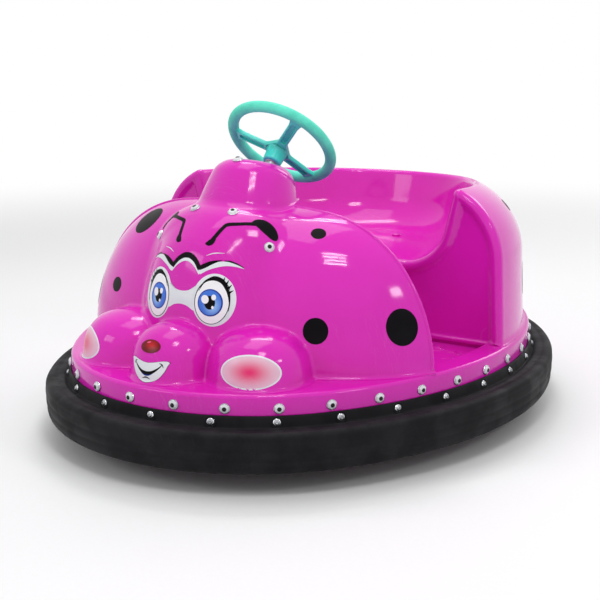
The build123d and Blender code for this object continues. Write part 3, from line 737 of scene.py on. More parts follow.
@dataclass
class FrontMoulding:
    """The front moulding: hood, brow, face, snout, cheeks and steering pod in one glossy shell."""

    materials: Materials
    deck_top: float = 206.0
    cell: float = 0.0058
    wall: float = 0.006
    seam_lift: float = 0.0004
    hood_rear: float = -0.260
    pod_rear: float = -0.185
    pod_place: Triple = (0.0, -0.245, 0.646)
    pod_tilt: float = 15.0
    pod_depth: float = 0.118
    pod_edge: float = 0.012
    pod_overlap: float = 0.003
    low: Triple = (-0.535, -0.725, 0.190)
    high: Triple = (0.535, -0.165, 0.685)
    lip_step: float = 0.008
    lip_least_points: int = 20
    lip_least_rings: int = 12
    brow_blend: float = 0.014
    face_blend: float = 0.012
    cheek_blend: float = 0.010
    pod_blend: float = 0.010
    foot_blend: float = 0.011
    hood: Dome = Dome(0, -180, 0.64, ((0, 558), (230, 545), (430, 428), (502, 206)))
    brow: Dome = Dome(0, -352, 0.72, ((0, 567), (110, 546), (178, 480), (222, 340), (232, 206)))
    face: Dome = Dome(0, -420, 0.70, ((0, 531), (137, 451), (180, 300), (188, 206)))
    snout: Dome = Dome(0, -569, 1, ((0, 323), (53, 309), (90, 256), (96, 206)))
    cheek_left: Dome = Dome(180, -496, 1, ((0, 318), (67, 303), (110, 251), (117, 206)))
    cheek_right: Dome = replace(cheek_left, x=-180)
    pod: Dome = Dome(0, 0, 1, ((0, 0), (56, -4), (98, -38), (124, -125)))

    def pod_local(self, points: Points) -> Points:
        """Return points in the pod's own upright frame."""
        angle = math.radians(self.pod_tilt)
        y, z = points[:, 1] - self.pod_place[1], points[:, 2] - self.pod_place[2]
        turned_y = y * math.cos(angle) - z * math.sin(angle)
        turned_z = y * math.sin(angle) + z * math.cos(angle)
        return np.stack((points[:, 0], turned_y, turned_z), 1)

    def pod_solid(self, points: Points) -> np.ndarray:
        """Return the field of the pod, cut upright behind with a rounded edge."""
        pod = self.pod.distance(self.pod_local(points))
        return rounded_meet(pod, points[:, 1] - self.pod_rear, self.pod_edge)

    def domes(self, points: Points) -> np.ndarray:
        """Return the field of all the domes but the pod, with soft folds between them."""
        result = rounded_join(self.hood.distance(points), self.brow.distance(points), self.brow_blend)
        result = rounded_join(result, self.face.distance(points), self.face_blend)
        result = rounded_join(result, self.snout.distance(points), self.face_blend)
        for cheek in (self.cheek_left, self.cheek_right):
            result = rounded_join(result, cheek.distance(points), self.cheek_blend)
        return result

    def solid(self, points: Points) -> np.ndarray:
        """Return the field of the whole front with its foot flowing out onto the deck."""
        result = rounded_join(self.domes(points), self.pod_solid(points), self.pod_blend)
        return rounded_join(result, points[:, 2] - self.deck_top * MM, self.foot_blend)

    def cut(self, points: Points) -> np.ndarray:
        """Return above zero where the shell is open: behind the hood, under the pod and on the deck."""
        behind = points[:, 1] - self.hood_rear
        off_pod = self.pod_solid(points) - self.pod_overlap
        under_pod = -(self.pod_local(points)[:, 2] + self.pod_depth)
        on_deck = self.deck_top * MM + self.seam_lift - points[:, 2]
        return np.maximum(np.minimum(behind, np.maximum(off_pod, under_pod)), on_deck)

    def build(self) -> None:
        """Build the shell and its rolled rear lip."""
        points, faces, normals = moulded(self.solid, self.cut, self.low, self.high, self.cell)
        pink = self.materials["pink_shell"]
        shell = shell_object("front_moulding", points, faces, normals, self.wall, pink)
        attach(shell, "root")
        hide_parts("front_hood")
        LOG.info("front_moulding has %d faces", len(shell.data.polygons))
        self.build_lip(points, faces, normals)

    def build_lip(self, points: Points, faces: Faces, normals: Points) -> None:
        """Build the rolled lip along the hood's open rear edge."""
        for loop in border_loops(faces):
            runs: list[list[int]] = [[]]
            for number in loop + loop[:1]:
                if abs(points[number][1] - self.hood_rear) < 1e-5:
                    runs[-1].append(number)
                elif runs[-1]:
                    runs.append([])
            for run in runs:
                if len(run) > self.lip_least_points:
                    self.sweep_lip(points[run], normals[run])

    def sweep_lip(self, path: Points, normals: Points) -> None:
        """Sweep the lip's section along one stretch of the rear edge."""
        section = ((0.0012, 0.0), (0.0022, -0.003), (0.0018, -0.006), (-0.0005, -0.008), (-0.009, -0.008),
                   (-0.0125, -0.006), (-0.0135, -0.002), (-0.0125, 0.0015), (-0.009, 0.003), (-0.002, 0.003))
        steps = np.concatenate(((0,), np.cumsum(np.linalg.norm(np.diff(path, axis=0), axis=1))))
        even = np.linspace(0, steps[-1], max(self.lip_least_rings, int(steps[-1] / self.lip_step)))
        outward = normals.copy()
        outward[:, 1] = 0
        place = np.stack([np.interp(even, steps, path[:, k]) for k in range(3)], 1)
        outward = unit_rows(np.stack([np.interp(even, steps, outward[:, k]) for k in range(3)], 1))
        rings = [place + outward * across + np.array((0, along, 0)) for across, along in section]
        points = np.stack(rings, 1).reshape(-1, 3)
        wide = len(section)
        faces = woven(len(even), wide)
        faces.append(tuple(range(wide)))
        faces.append(tuple(range(len(points) - 1, len(points) - wide - 1, -1)))
        side = "left" if place[:, 0].mean() > 0 else "right"
        lip = new_object(f"front_lip_{side}", points, faces, self.materials["pink_shell"])
        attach(lip, "root")
        LOG.info("%s runs %.3f m", lip.name, steps[-1])


@dataclass
class RearMoulding:
    """The rear body: a shouldered shell with the seat sunk into it."""

    materials: Materials
    deck_top: float = 0.206
    cell: float = 0.0067
    wall: float = 0.006
    seam_lift: float = 0.0004
    riser_y: float = 0.040
    riser_edge: float = 0.022
    body_inset: float = 0.080
    body_draft: float = 2.5
    body_top: float = 0.590
    body_top_slope: float = 3.5
    shoulder: float = 0.178
    seat_top: float = 0.387
    seat_inset: float = 0.262
    seat_draft: float = 13.5
    seat_corner: float = 0.085
    seat_rim: float = 0.016
    foot_blend: float = 0.010
    bead_radius: float = 0.016
    bead_inset: float = 0.016
    bead_depth: float = 0.005
    bead_blend: float = 0.007
    low: Triple = (-0.545, 0.020, 0.190)
    high: Triple = (0.545, 0.700, 0.610)

    def body(self, points: Points) -> np.ndarray:
        """Return the field of the shouldered body before its front and its seat are cut."""
        draft, slope = math.radians(self.body_draft), math.radians(self.body_top_slope)
        height = points[:, 2] - self.deck_top
        sides = (OVAL.distance(points) + self.body_inset + height * math.tan(draft)) * math.cos(draft)
        behind, above = points[:, 1] - self.riser_y, points[:, 2] - self.body_top
        top = behind * math.sin(slope) + above * math.cos(slope)
        return rounded_meet(sides, top, self.shoulder)

    def seat(self, points: Points) -> np.ndarray:
        """Return the field of the hollow that holds the seat."""
        draft = math.radians(self.seat_draft)
        height = points[:, 2] - self.seat_top
        sides = (OVAL.distance(points) + self.seat_inset - height * math.tan(draft)) * math.cos(draft)
        return rounded_meet(sides, -height, self.seat_corner)

    def solid(self, points: Points) -> np.ndarray:
        """Return the field of the body with its seat, its foot flowing out onto the deck."""
        seated = rounded_meet(self.body(points), -self.seat(points), self.seat_rim)
        panel = self.riser_y - points[:, 1]
        body = rounded_meet(seated, panel, self.riser_edge)
        bead = np.hypot(seated + self.bead_inset, panel + self.bead_depth) - self.bead_radius
        beaded = rounded_join(body, bead, self.bead_blend)
        return rounded_join(beaded, points[:, 2] - self.deck_top, self.foot_blend)

    def cut(self, points: Points) -> np.ndarray:
        """Return above zero where the body goes on below the deck."""
        return self.deck_top + self.seam_lift - points[:, 2]

    def build(self) -> None:
        """Build the shell."""
        points, faces, normals = moulded(self.solid, self.cut, self.low, self.high, self.cell)
        shell = shell_object("rear_moulding", points, faces, normals, self.wall, self.materials["pink_shell"])
        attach(shell, "root")
        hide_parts("rear_body")
        LOG.info("rear_moulding has %d faces", len(shell.data.polygons))


# Prints: thin closed sheets that follow the mouldings


@dataclass(frozen=True)
class Spot:
    """A place on a moulding, the way it faces, and the level and upright directions in it."""

    solid: Field
    centre: Points
    facing: Points

    @property
    def right(self) -> Points:
        """Return the direction to the right for one who looks at the place."""
        level = np.cross((0.0, 0.0, 1.0), self.facing)
        return level / np.linalg.norm(level)

    @property
    def up(self) -> Points:
        """Return the direction up along the surface."""
        return np.cross(self.facing, self.right)

    def wrap(self, plan: Points) -> Points:
        """Return plan points, in millimetres from the centre, dropped onto the moulding."""
        aside = (plan[:, :1] * self.right + plan[:, 1:] * self.up) * MM
        points = self.centre + self.facing * DROP_HEIGHT + aside
        for _ in range(DROP_ROUNDS):
            points = points - self.facing * self.solid(points)[:, None] * DROP_SHARE
        return settle(self.solid, points, 0.001, 2)

    def matrix(self) -> Matrix:
        """Return the place as an object's own frame: right, up and outward."""
        turned = Matrix([(*column,) for column in zip(self.right, self.up, self.facing)]).to_4x4()
        return Matrix.Translation(self.centre) @ turned


def spot_on(solid: Field, near: Sequence[float]) -> Spot:
    """Return the spot of a moulding that lies nearest to a point."""
    centre = settle(solid, np.array([near], float), 0.02, 8)
    return Spot(solid, centre[0], unit_rows(slope_of(solid, centre))[0])


def smooth_path(controls: Sequence[Sequence[float]], step: float, closed: bool = False) -> Points:
    """Return points along a smooth curve through control points.

    Args:
        controls: The points that it passes, with two or more columns.
        step: The rough distance between the new points, over the first three columns.
        closed: Whether it goes back to its start.

    Returns:
        The points, without the start twice where it is closed.
    """
    given = np.array(controls, float)
    if closed:
        before, after, last = given[-1:], given[:2], len(given)
    else:
        before, after, last = 2 * given[:1] - given[1:2], 2 * given[-1:] - given[-2:-1], len(given) - 1
    padded = np.concatenate((before, given, after))
    rows = []
    for index in range(last):
        a, b, c, d = padded[index:index + 4]
        bend, twist = 2 * a - 5 * b + 4 * c - d, 3 * b - a - 3 * c + d
        count = max(2, round(float(np.linalg.norm((c - b)[:3])) / step))
        for t in np.arange(count) / count:
            rows.append(0.5 * (2 * b + (c - a) * t + bend * t**2 + twist * t**3))
    if not closed:
        rows.append(given[-1])
    return np.array(rows)


def ellipse(wide: float, high: float, lean: float = 0.0, count: int = 72) -> Points:
    """Return an ellipse's outline from its half sizes and its lean in degrees."""
    turn = np.linspace(0, 2 * math.pi, count, endpoint=False)
    x, y = wide * np.cos(turn), high * np.sin(turn)
    angle = math.radians(lean)
    return np.stack((x * math.cos(angle) - y * math.sin(angle), x * math.sin(angle) + y * math.cos(angle)), 1)


class Print:
    """Makes printed sheets on one moulding and lays each a little over the last."""

    sheet_sink = 0.0005
    least_rings = 3
    ribbon_step = 2.5
    ribbon_columns = 5
    least_half_width = 0.25

    def __init__(self, solid: Field, materials: Materials) -> None:
        """Keep the moulding's field and the materials."""
        self.solid = solid
        self.materials = materials

    def lay(self, name: str, spot: Spot, points: Points, faces: Faces, finish: str, lift: float) -> Piece:
        """Return a closed sheet over points on the moulding.

        Args:
            name: The new piece's name.
            spot: The place that gives the piece its own frame.
            points: Points on the moulding.
            faces: The sheet's faces.
            finish: The print's finish.
            lift: How far the sheet's top stands over the moulding, in millimetres.

        Returns:
            The piece.
        """
        normals = unit_rows(slope_of(self.solid, points))
        lifted = points + normals * lift * MM
        frame_of = np.array(spot.matrix())
        local = (lifted - frame_of[:3, 3]) @ frame_of[:3, :3]
        thickness = lift * MM + self.sheet_sink
        local_normals = normals @ frame_of[:3, :3]
        piece = shell_object(name, local, faces, local_normals, thickness, self.materials[finish])
        piece.matrix_world = spot.matrix()
        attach(piece, "root")
        return piece

    def patch(self, name: str, spot: Spot, outline: Points, finish: str, lift: float = 0.4,
              at: Pair = (0.0, 0.0), step: float = 4.0) -> Piece:
        """Return a filled outline printed at a spot.

        Args:
            name: The new piece's name.
            spot: The place that it lies on.
            outline: Its outline round its own centre, in millimetres.
            finish: Its finish.
            lift: How far it stands over the moulding, in millimetres.
            at: Its centre over the spot.
            step: The size of its faces.

        Returns:
            The piece.
        """
        reach = float(np.linalg.norm(outline, axis=1).max())
        shares = np.linspace(1, 0, max(self.least_rings, round(reach / step) + 1))[:-1]
        count = len(outline)
        plan = np.concatenate([outline * share for share in shares] + [np.zeros((1, 2))]) + np.array(at)
        faces = woven(len(shares), count)
        last = (len(shares) - 1) * count
        faces += [(last + k, last + (k + 1) % count, len(plan) - 1) for k in range(count)]
        return self.lay(name, spot, spot.wrap(plan), faces, finish, lift)

    def ribbon(self, name: str, spot: Spot, controls: Stroke, finish: str, lift: float = 0.6) -> Piece:
        """Return a band of changing width printed along a curve.

        Args:
            name: The new piece's name.
            spot: The place that it lies on.
            controls: Where it passes over the spot, and its half width there, in millimetres.
            finish: Its finish.
            lift: How far it stands over the moulding, in millimetres.

        Returns:
            The piece.
        """
        path = smooth_path(controls, self.ribbon_step)
        along = np.gradient(path[:, :2], axis=0)
        across = np.stack((-along[:, 1], along[:, 0]), 1)
        across /= np.maximum(np.linalg.norm(across, axis=1), 1e-9)[:, None]
        shares = np.linspace(-1, 1, self.ribbon_columns)
        half = np.maximum(path[:, 2:], self.least_half_width)
        plan = (path[:, None, :2] + across[:, None] * half[:, None] * shares[None, :, None]).reshape(-1, 2)
        wide = len(shares)
        faces: Faces = [
            (row * wide + k + 1, row * wide + k, (row + 1) * wide + k, (row + 1) * wide + k + 1)
            for row in range(len(path) - 1) for k in range(wide - 1)
        ]
        return self.lay(name, spot, spot.wrap(plan), faces, finish, lift)


def mirrored(stroke: Stroke, side: int) -> list[Triple]:
    """Return a stroke's controls as they are, or turned over for the other side."""
    return [(side * x, y, half) for x, y, half in stroke]


def arched(half: Stroke) -> list[Triple]:
    """Return a stroke that is the same on both sides, from its controls on the middle line outward."""
    return mirrored(half[:0:-1], -1) + list(half)


@dataclass(frozen=True)
class EyeLayer:
    """One ellipse of the left eye in millimetres, with what the right eye mirrors and what it keeps.

    The place across and the lean are mirrored; the aside and the tilt are the same on both eyes.
    """

    name: str
    size: Pair
    finish: str
    lift: float
    place: Pair
    lean: float = 0.0
    aside: float = 0.0
    tilt: float = 0.0
    count: int = 72

    def lay(self, printer: "Print", spot: Spot, side: int, name: str) -> None:
        """Print the layer on one eye."""
        outline = ellipse(*self.size, self.lean * side + self.tilt, self.count)
        place = (self.place[0] * side + self.aside, self.place[1])
        printer.patch(f"{self.name}_{name}", spot, outline, self.finish, self.lift, place)


EYE_LAYERS = (
    EyeLayer("eye_surround", (50, 58), "print_pale", 0.35, (2, 1), lean=-6),
    EyeLayer("eye_line", (40.5, 49.5), "print_black", 0.5, (-2, -3), lean=-5),
    EyeLayer("eye_white", (38.6, 47.4), "print_white", 0.65, (-2, -3.6), lean=-5),
    EyeLayer("iris_line", (29, 30), "print_navy", 0.8, (-5, -5)),
    EyeLayer("iris", (26.2, 27.4), "print_blue", 0.95, (-5.6, -5)),
    EyeLayer("pupil", (12.5, 15), "print_black", 1.1, (-6, -5)),
    EyeLayer("glint_large", (8.6, 9.6), "print_white", 1.25, (-6, 2), aside=-11, tilt=20, count=48),
    EyeLayer("glint_small", (5.4, 6.4), "print_white", 1.25, (-6, 7), aside=9, count=36),
    EyeLayer("glint_low", (3, 3.4), "print_white", 1.25, (-6, -15), aside=7, count=30),
)


@dataclass
class FacePrint:
    """A plain ladybird's face: ringed eyes, brows, a red nose, a smile, blushed cheeks and feelers."""

    printer: Print
    eye_x: float = 0.077
    eye_y: float = -0.526
    eye_z: float = 0.371
    blush_left: Triple = (0.226, -0.600, 0.2485)
    blush_right: Triple = (-0.249, -0.585, 0.2465)
    outline_step: float = 2.5

    def build(self) -> None:
        """Print the whole face."""
        self.build_bridge()
        for side, name, middle in ((1, "left", self.blush_left), (-1, "right", self.blush_right)):
            self.build_eye(side, name)
            self.build_feeler(side, name)
            blush = spot_on(self.printer.solid, middle)
            self.printer.patch(f"blush_line_{name}", blush, ellipse(65.5, 37, 0, 96), "print_pale", 0.35)
            self.printer.patch(f"blush_{name}", blush, ellipse(62, 33.8, 0, 96), "print_blush", 0.5)
        self.build_brows()
        self.build_nose()
        self.build_mouth()
        LOG.info("face printed")

    def build_bridge(self) -> None:
        """Print the pale band that joins the eyes' surrounds."""
        spot = spot_on(self.printer.solid, (0, -0.540, 0.377))
        corners = ((50, -30), (50, 30), (34, 22), (18, 13), (0, 10), (-18, 13), (-34, 22), (-50, 30),
                   (-50, -30), (-34, -30), (-18, -22), (0, -19), (18, -22), (34, -30))
        outline = smooth_path(corners, self.outline_step, closed=True)
        self.printer.patch("eye_bridge", spot, outline, "print_pale", 0.3)

    def build_eye(self, side: int, name: str) -> None:
        """Print one eye with its pale surround, iris, pupil, glints and lashes."""
        spot = spot_on(self.printer.solid, (side * self.eye_x, self.eye_y, self.eye_z))
        for layer in EYE_LAYERS:
            layer.lay(self.printer, spot, side, name)
        ribbon = self.printer.ribbon
        lid = ((-33, 20, 0.4), (-20, 40, 1.8), (0, 48.5, 2.8), (20, 41, 3.8), (34, 20, 3.4), (38, -4, 1.4),
               (36, -22, 0.5))
        ribbon(f"eye_lid_{name}", spot, mirrored(lid, side), "print_black", 0.8)
        fold = ((-14, 46.5, 0.3), (2, 52.5, 1.0), (20, 47, 1.3), (33, 33, 0.9), (38, 24, 0.3))
        ribbon(f"eye_fold_{name}", spot, mirrored(fold, side), "print_black", 0.8)
        lashes = ((21, 40, 4, 12), (27, 34, 7, 12), (32, 27, 9, 9), (35, 18, 10, 6))
        for number, (x, y, dx, dy) in enumerate(lashes):
            lash = ((x, y, 3.0), (x + dx * 0.45, y + dy * 0.4, 1.9), (x + dx, y + dy, 0.3))
            ribbon(f"eye_lash_{number}_{name}", spot, mirrored(lash, side), "print_black", 0.9)

    def build_brows(self) -> None:
        """Print the brows: a dark stroke that swings up between them, over a pale one."""
        spot = spot_on(self.printer.solid, (0, -0.508, 0.449))
        pale = ((39, -24, 4.0), (52, -13, 5.0), (70, -2, 6.0), (90, 5, 5.0), (108, 6, 3.0), (124, 3, 0.4))
        dark = ((37, -14, 4.4), (48, -7, 5.2), (60, 1, 4.2), (72, 7, 2.2), (82, 11, 0.4))
        tail = ((86, 11, 0.4), (97, 12, 1.8), (111, 9.5, 1.4), (124, 4.5, 0.4))
        light = ((46, 16, 0.3), (62, 24, 1.0), (82, 28, 0.3))
        middle = arched(((0, 11.5, 6.4), (12, 9, 6.0), (26, -1, 5.2), (38, -17, 4.6)))
        edge = arched(((0, 1.5, 3.6), (12, -1, 3.6), (27, -11, 3.4), (40, -26, 3.4)))
        ribbon = self.printer.ribbon
        ribbon("brow_pale_middle", spot, edge, "print_pale", 0.5)
        ribbon("brow_dark_middle", spot, middle, "print_black", 0.75)
        for side, name in ((1, "left"), (-1, "right")):
            ribbon(f"brow_pale_{name}", spot, mirrored(pale, side), "print_pale", 0.55)
            ribbon(f"brow_dark_{name}", spot, mirrored(dark, side), "print_black", 0.75)
            ribbon(f"brow_tail_{name}", spot, mirrored(tail, side), "print_black", 0.75)
            ribbon(f"brow_light_{name}", spot, mirrored(light, side), "print_pale", 0.55)

    def build_feeler(self, side: int, name: str) -> None:
        """Print one feeler: a stalk that bends outward to a leaf."""
        spot = spot_on(self.printer.solid, (side * 0.080, -0.440, 0.528))
        stalk = ((-52, -44, 4.6), (-44, -32, 4.6), (-27, -6, 4.4), (-18, 1, 4.6), (6, 3, 4.2), (34, 6, 4.4),
                 (48, 7, 4.8))
        self.printer.ribbon(f"feeler_{name}", spot, mirrored(stalk, side), "print_black", 0.6)
        foot = ((-63, -47, 2.0), (-56, -47, 6.4), (-49, -43, 6.8), (-41, -37, 1.0))
        self.printer.ribbon(f"feeler_foot_{name}", spot, mirrored(foot, side), "print_black", 0.75)
        leaf = ((35, 8, 3.0), (46, 11, 10.5), (60, 8, 14.5), (74, -3, 14.5), (84, -15, 10.5), (89, -22, 6.0),
                (91, -25, 0.5))
        self.printer.ribbon(f"feeler_leaf_{name}", spot, mirrored(leaf, side), "print_black", 0.75)

    def build_nose(self) -> None:
        """Print the nose, red with painted shading, and a painted highlight on it."""
        spot = spot_on(self.printer.solid, (0, -0.648, 0.285))
        # The nose's red print carries painted shading: bright up and to the right, dark at its edge.
        self.printer.patch("nose", spot, ellipse(26, 15.5), "print_red_painted_shade", 0.6)
        # Painted highlight: a small pale mark high on the nose.
        self.printer.patch("nose_glint", spot, ellipse(5.2, 1.9, 14, 40), "print_blush", 0.75, (-6, 8))

    def build_mouth(self) -> None:
        """Print the pale mouth with its smile and the line under it."""
        spot = spot_on(self.printer.solid, (0, -0.662, 0.236))
        corners = ((47, 13), (50, 20), (40, 22), (16, 17), (0, 15), (-16, 17), (-40, 22), (-50, 20),
                   (-47, 13), (-40, -3), (-25, -20), (0, -27.5), (25, -20), (40, -3))
        outline = smooth_path(corners, self.outline_step, closed=True)
        self.printer.patch("mouth_line", spot, outline * 1.025, "print_black", 0.35)
        self.printer.patch("mouth", spot, outline, "print_pale", 0.5)
        smile = arched(((0, -7.5, 3.8), (15, -4, 3.0), (29, 6, 1.5), (37, 15, 0.5)))
        self.printer.ribbon("smile", spot, smile, "print_black", 0.7)
        lip = arched(((0, -12.5, 1.3), (12, -9, 1.0), (24, 1, 0.3)))
        self.printer.ribbon("lip_shade", spot, lip, "print_navy", 0.65)
        corner = ((30, 17, 0.4), (35.5, 14.5, 1.2), (39, 8, 0.4))
        for side, name in ((1, "left"), (-1, "right")):
            self.printer.ribbon(f"smile_corner_{name}", spot, mirrored(corner, side), "print_black", 0.75)
        chin = arched(((0, -16.5, 1.5), (11, -20, 0.4)))
        self.printer.ribbon("chin_line", spot, chin, "print_black", 0.7)


@dataclass(frozen=True)
class WingSpots:
    """The black spots over the mouldings: each a near point and half sizes in millimetres."""

    front: tuple[tuple[float, float, float, float, float], ...] = (
        (0.284, -0.431, 0.310, 28, 29), (0.436, -0.317, 0.315, 38, 41), (0.234, -0.340, 0.507, 17, 16),
        (-0.256, -0.340, 0.499, 47, 42), (-0.293, -0.419, 0.347, 24, 18), (-0.440, -0.312, 0.300, 38, 41),
    )
    rear: tuple[tuple[float, float, float, float, float], ...] = (
        (0.470, 0.330, 0.318, 44, 42), (-0.470, 0.330, 0.318, 44, 42), (0.300, 0.545, 0.420, 34, 33),
        (-0.300, 0.545, 0.420, 34, 33), (0.0, 0.660, 0.330, 46, 44), (0.420, 0.300, 0.520, 19, 18),
        (-0.420, 0.300, 0.520, 19, 18),
    )

    def build(self, front: Print, rear: Print) -> None:
        """Print the spots on both mouldings."""
        for printer, name, places in ((front, "front", self.front), (rear, "rear", self.rear)):
            for number, (x, y, z, wide, high) in enumerate(places):
                spot = spot_on(printer.solid, (x, y, z))
                outline = ellipse(wide, high, 0, 90)
                printer.patch(f"spot_{name}_{number}", spot, outline, "print_black", 0.4, step=5)
            LOG.info("%d spots on the %s moulding", len(places), name)


# Small fittings, each drawn once and set in many places, with their edges sharp past this angle

FITTING_CREASE = 40


def turned_part(
        profile: Sequence[Pair], sides: int, wave: Wave | None = None) -> tuple[Points, Faces]:
    """Return a closed form turned about Z.

    Args:
        profile: Radius and height pairs from the lower middle to the upper middle, in millimetres.
        sides: How many sides it has.
        wave: Gives a factor on the radius from the angle and the profile point's number.

    Returns:
        Its points and faces.
    """
    points, faces = [(0.0, 0.0, profile[0][1] * MM)], []
    rows = profile[1:-1]
    for number, (radius, height) in enumerate(rows):
        for k in range(sides):
            angle = 2 * math.pi * k / sides
            size = radius * MM * (wave(angle, number) if wave else 1)
            points.append((size * math.cos(angle), size * math.sin(angle), height * MM))
    points.append((0.0, 0.0, profile[-1][1] * MM))
    for k in range(sides):
        after = (k + 1) % sides
        faces.append((0, 1 + after, 1 + k))
        for row in range(len(rows) - 1):
            a, b = 1 + row * sides + k, 1 + row * sides + after
            faces.append((a, b, b + sides, a + sides))
        top = 1 + (len(rows) - 1) * sides
        faces.append((top + k, top + after, len(points) - 1))
    return np.array(points), faces


@dataclass(frozen=True)
class Seat:
    """Where a small fitting stands: its foot and the way it points."""

    foot: Vector
    facing: Vector

    def matrix(self) -> Matrix:
        """Return the seat as a frame with Z along its facing."""
        return Matrix.Translation(self.foot) @ self.facing.to_track_quat("Z", "Y").to_matrix().to_4x4()


def set_out(name: str, form: tuple[Points, Faces], seats: Sequence[Seat], material: Material, body: str,
            flat: bool = False) -> Piece:
    """Return one piece made of a form at each of many seats.

    Args:
        name: The piece's name.
        form: The form's points and faces.
        seats: Where it goes.
        material: What it is made of.
        body: The body that it rides on.
        flat: Whether its faces stay flat, as on a cut lens.

    Returns:
        The piece.
    """
    points, faces = [], []
    for seat in seats:
        start, matrix = len(points), seat.matrix()
        points += [matrix @ Vector(point) for point in form[0]]
        faces += [tuple(start + number for number in face) for face in form[1]]
    piece = new_object(name, points, faces, material)
    if flat:
        piece.data.shade_flat()
    else:
        piece.data.set_sharp_from_angle(angle=math.radians(FITTING_CREASE))
    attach(piece, body)
    LOG.info("%s at %d places", name, len(seats))
    return piece


def cut_corners(angle: float, number: int) -> float:
    """Return the factor on a lens's radius that draws in every second one of its twelve corners."""
    return 1.0 if round(angle / math.pi * 6) % 2 else 0.9


class LampPart(Enum):
    """The three parts of a lamp cap, with their profiles, material slots and sides."""

    RING = ("ring", "shaft_chrome", 32,
            ((0, -0.5), (10.2, -0.5), (11.6, 0), (11.9, 0.8), (11.5, 1.9), (10.6, 2.2), (10, 1.6), (0, 1.6)))
    LENS = ("lens", "lamp_clear", 12,
            ((0, 1.7), (9.8, 1.7), (10.7, 2.4), (10.0, 4.2), (7.6, 6.1), (5.0, 6.8), (0, 7.0)))
    CORE = ("core", "bush_plastic", 16,
            ((0, 5.0), (4.6, 5.0), (5.2, 6.4), (4.3, 7.4), (2.2, 7.9), (0, 8.0)))


@dataclass
class Lamps:
    """The lamp caps round the skirt, across the brow and on the pod."""

    front: Field
    materials: Materials
    rim_count: int = 34
    rim_first: float = 0.032
    rim_inset: float = 0.064
    rim_gap: float = 0.0003
    rim_height: float = 0.177
    brow_places: Profile = ((0.053, -0.413), (0.154, -0.417))
    pod_place: Pair = (0.0, -0.318)
    drop_start: float = 0.75
    drop_rounds: int = 60

    def rim_seats(self) -> list[Seat]:
        """Return the seats round the skirt."""
        spacing = OVAL.length(self.rim_inset) / self.rim_count
        seats = []
        for index in range(self.rim_count):
            place, outward = OVAL.place(self.rim_inset - self.rim_gap, self.rim_first + index * spacing)
            seats.append(Seat(place + Vector((0, 0, self.rim_height)), outward))
        return seats

    def top_seat(self, x: float, y: float) -> Seat:
        """Return the seat on the top of the front moulding over a place."""
        point = np.array([[x, y, self.drop_start]])
        for _ in range(self.drop_rounds):
            point[:, 2] -= self.front(point) * DROP_SHARE
        return Seat(Vector(point[0]), Vector(unit_rows(slope_of(self.front, point))[0]))

    def build(self) -> None:
        """Build every lamp cap in its three parts."""
        brow = [self.top_seat(side * x, y) for x, y in self.brow_places for side in (-1, 1)]
        rows = (("rim", "rim_lamps", self.rim_seats()), ("brow", "brow_lamps", brow),
                ("pod", "pod_lamp", [self.top_seat(*self.pod_place)]))
        for name, node, seats in rows:
            for part in LampPart:
                title, slot, sides, profile = part.value
                lens = part is LampPart.LENS
                form = turned_part(profile, sides, cut_corners if lens else None)
                piece = set_out(f"{name}_lamp_{title}", form, seats, self.materials[slot], "root", lens)
                if lens:
                    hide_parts(node)


@dataclass
class RubberRing:
    """The rubber ring: a ribbed wall, a rounded ledge and the band that the screws hold.

    The section is inset and height pairs in millimetres, from the hidden inner foot outward and up to the
    band. Its wall is smoothed, and its back stays straight.
    """

    materials: Materials
    steps: int = 360
    smoothing_step: float = 2.2
    crease: float = 50.0
    wall: Profile = (
        (89.5, 48.6), (60, 48.2), (34, 48.3), (19, 50.0), (9.5, 55.5), (4.6, 64), (2.6, 73), (3.6, 80),
        (1.4, 87.5), (0.9, 95), (2.3, 101.5), (0.6, 108.5), (0.3, 117), (1.4, 124), (1.6, 130.5), (5.2, 137),
        (11.5, 140.8), (20, 141.9), (28, 140.6), (37, 141.6), (44, 141.2), (48.6, 138.9), (51.4, 137.6),
        (53.3, 140.2), (54.5, 144.6), (55.9, 150), (57.6, 156.4), (58.9, 160.6), (60.6, 161.9), (63.2, 161.7))
    back: Profile = ((63.8, 161.0), (63.8, 122.0), (89.5, 122.0))

    def build(self) -> None:
        """Sweep the section round the plan oval."""
        section = np.concatenate((smooth_path(self.wall, self.smoothing_step), self.back))
        length = OVAL.length(0)
        points = []
        for index in range(self.steps):
            place, outward = OVAL.place(0, index * length / self.steps)
            edge, away = np.array(place), np.array(outward)
            points += [edge - away * inset * MM + np.array((0, 0, height * MM)) for inset, height in section]
        faces = woven(self.steps, len(section), closed=True, turned=True)
        ring = new_object("rubber_ring", points, faces, self.materials["ring_rubber"])
        ring.data.set_sharp_from_angle(angle=math.radians(self.crease))
        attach(ring, "root")
        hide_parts("bumper_rubber")
        LOG.info("rubber_ring has %d faces", len(faces))


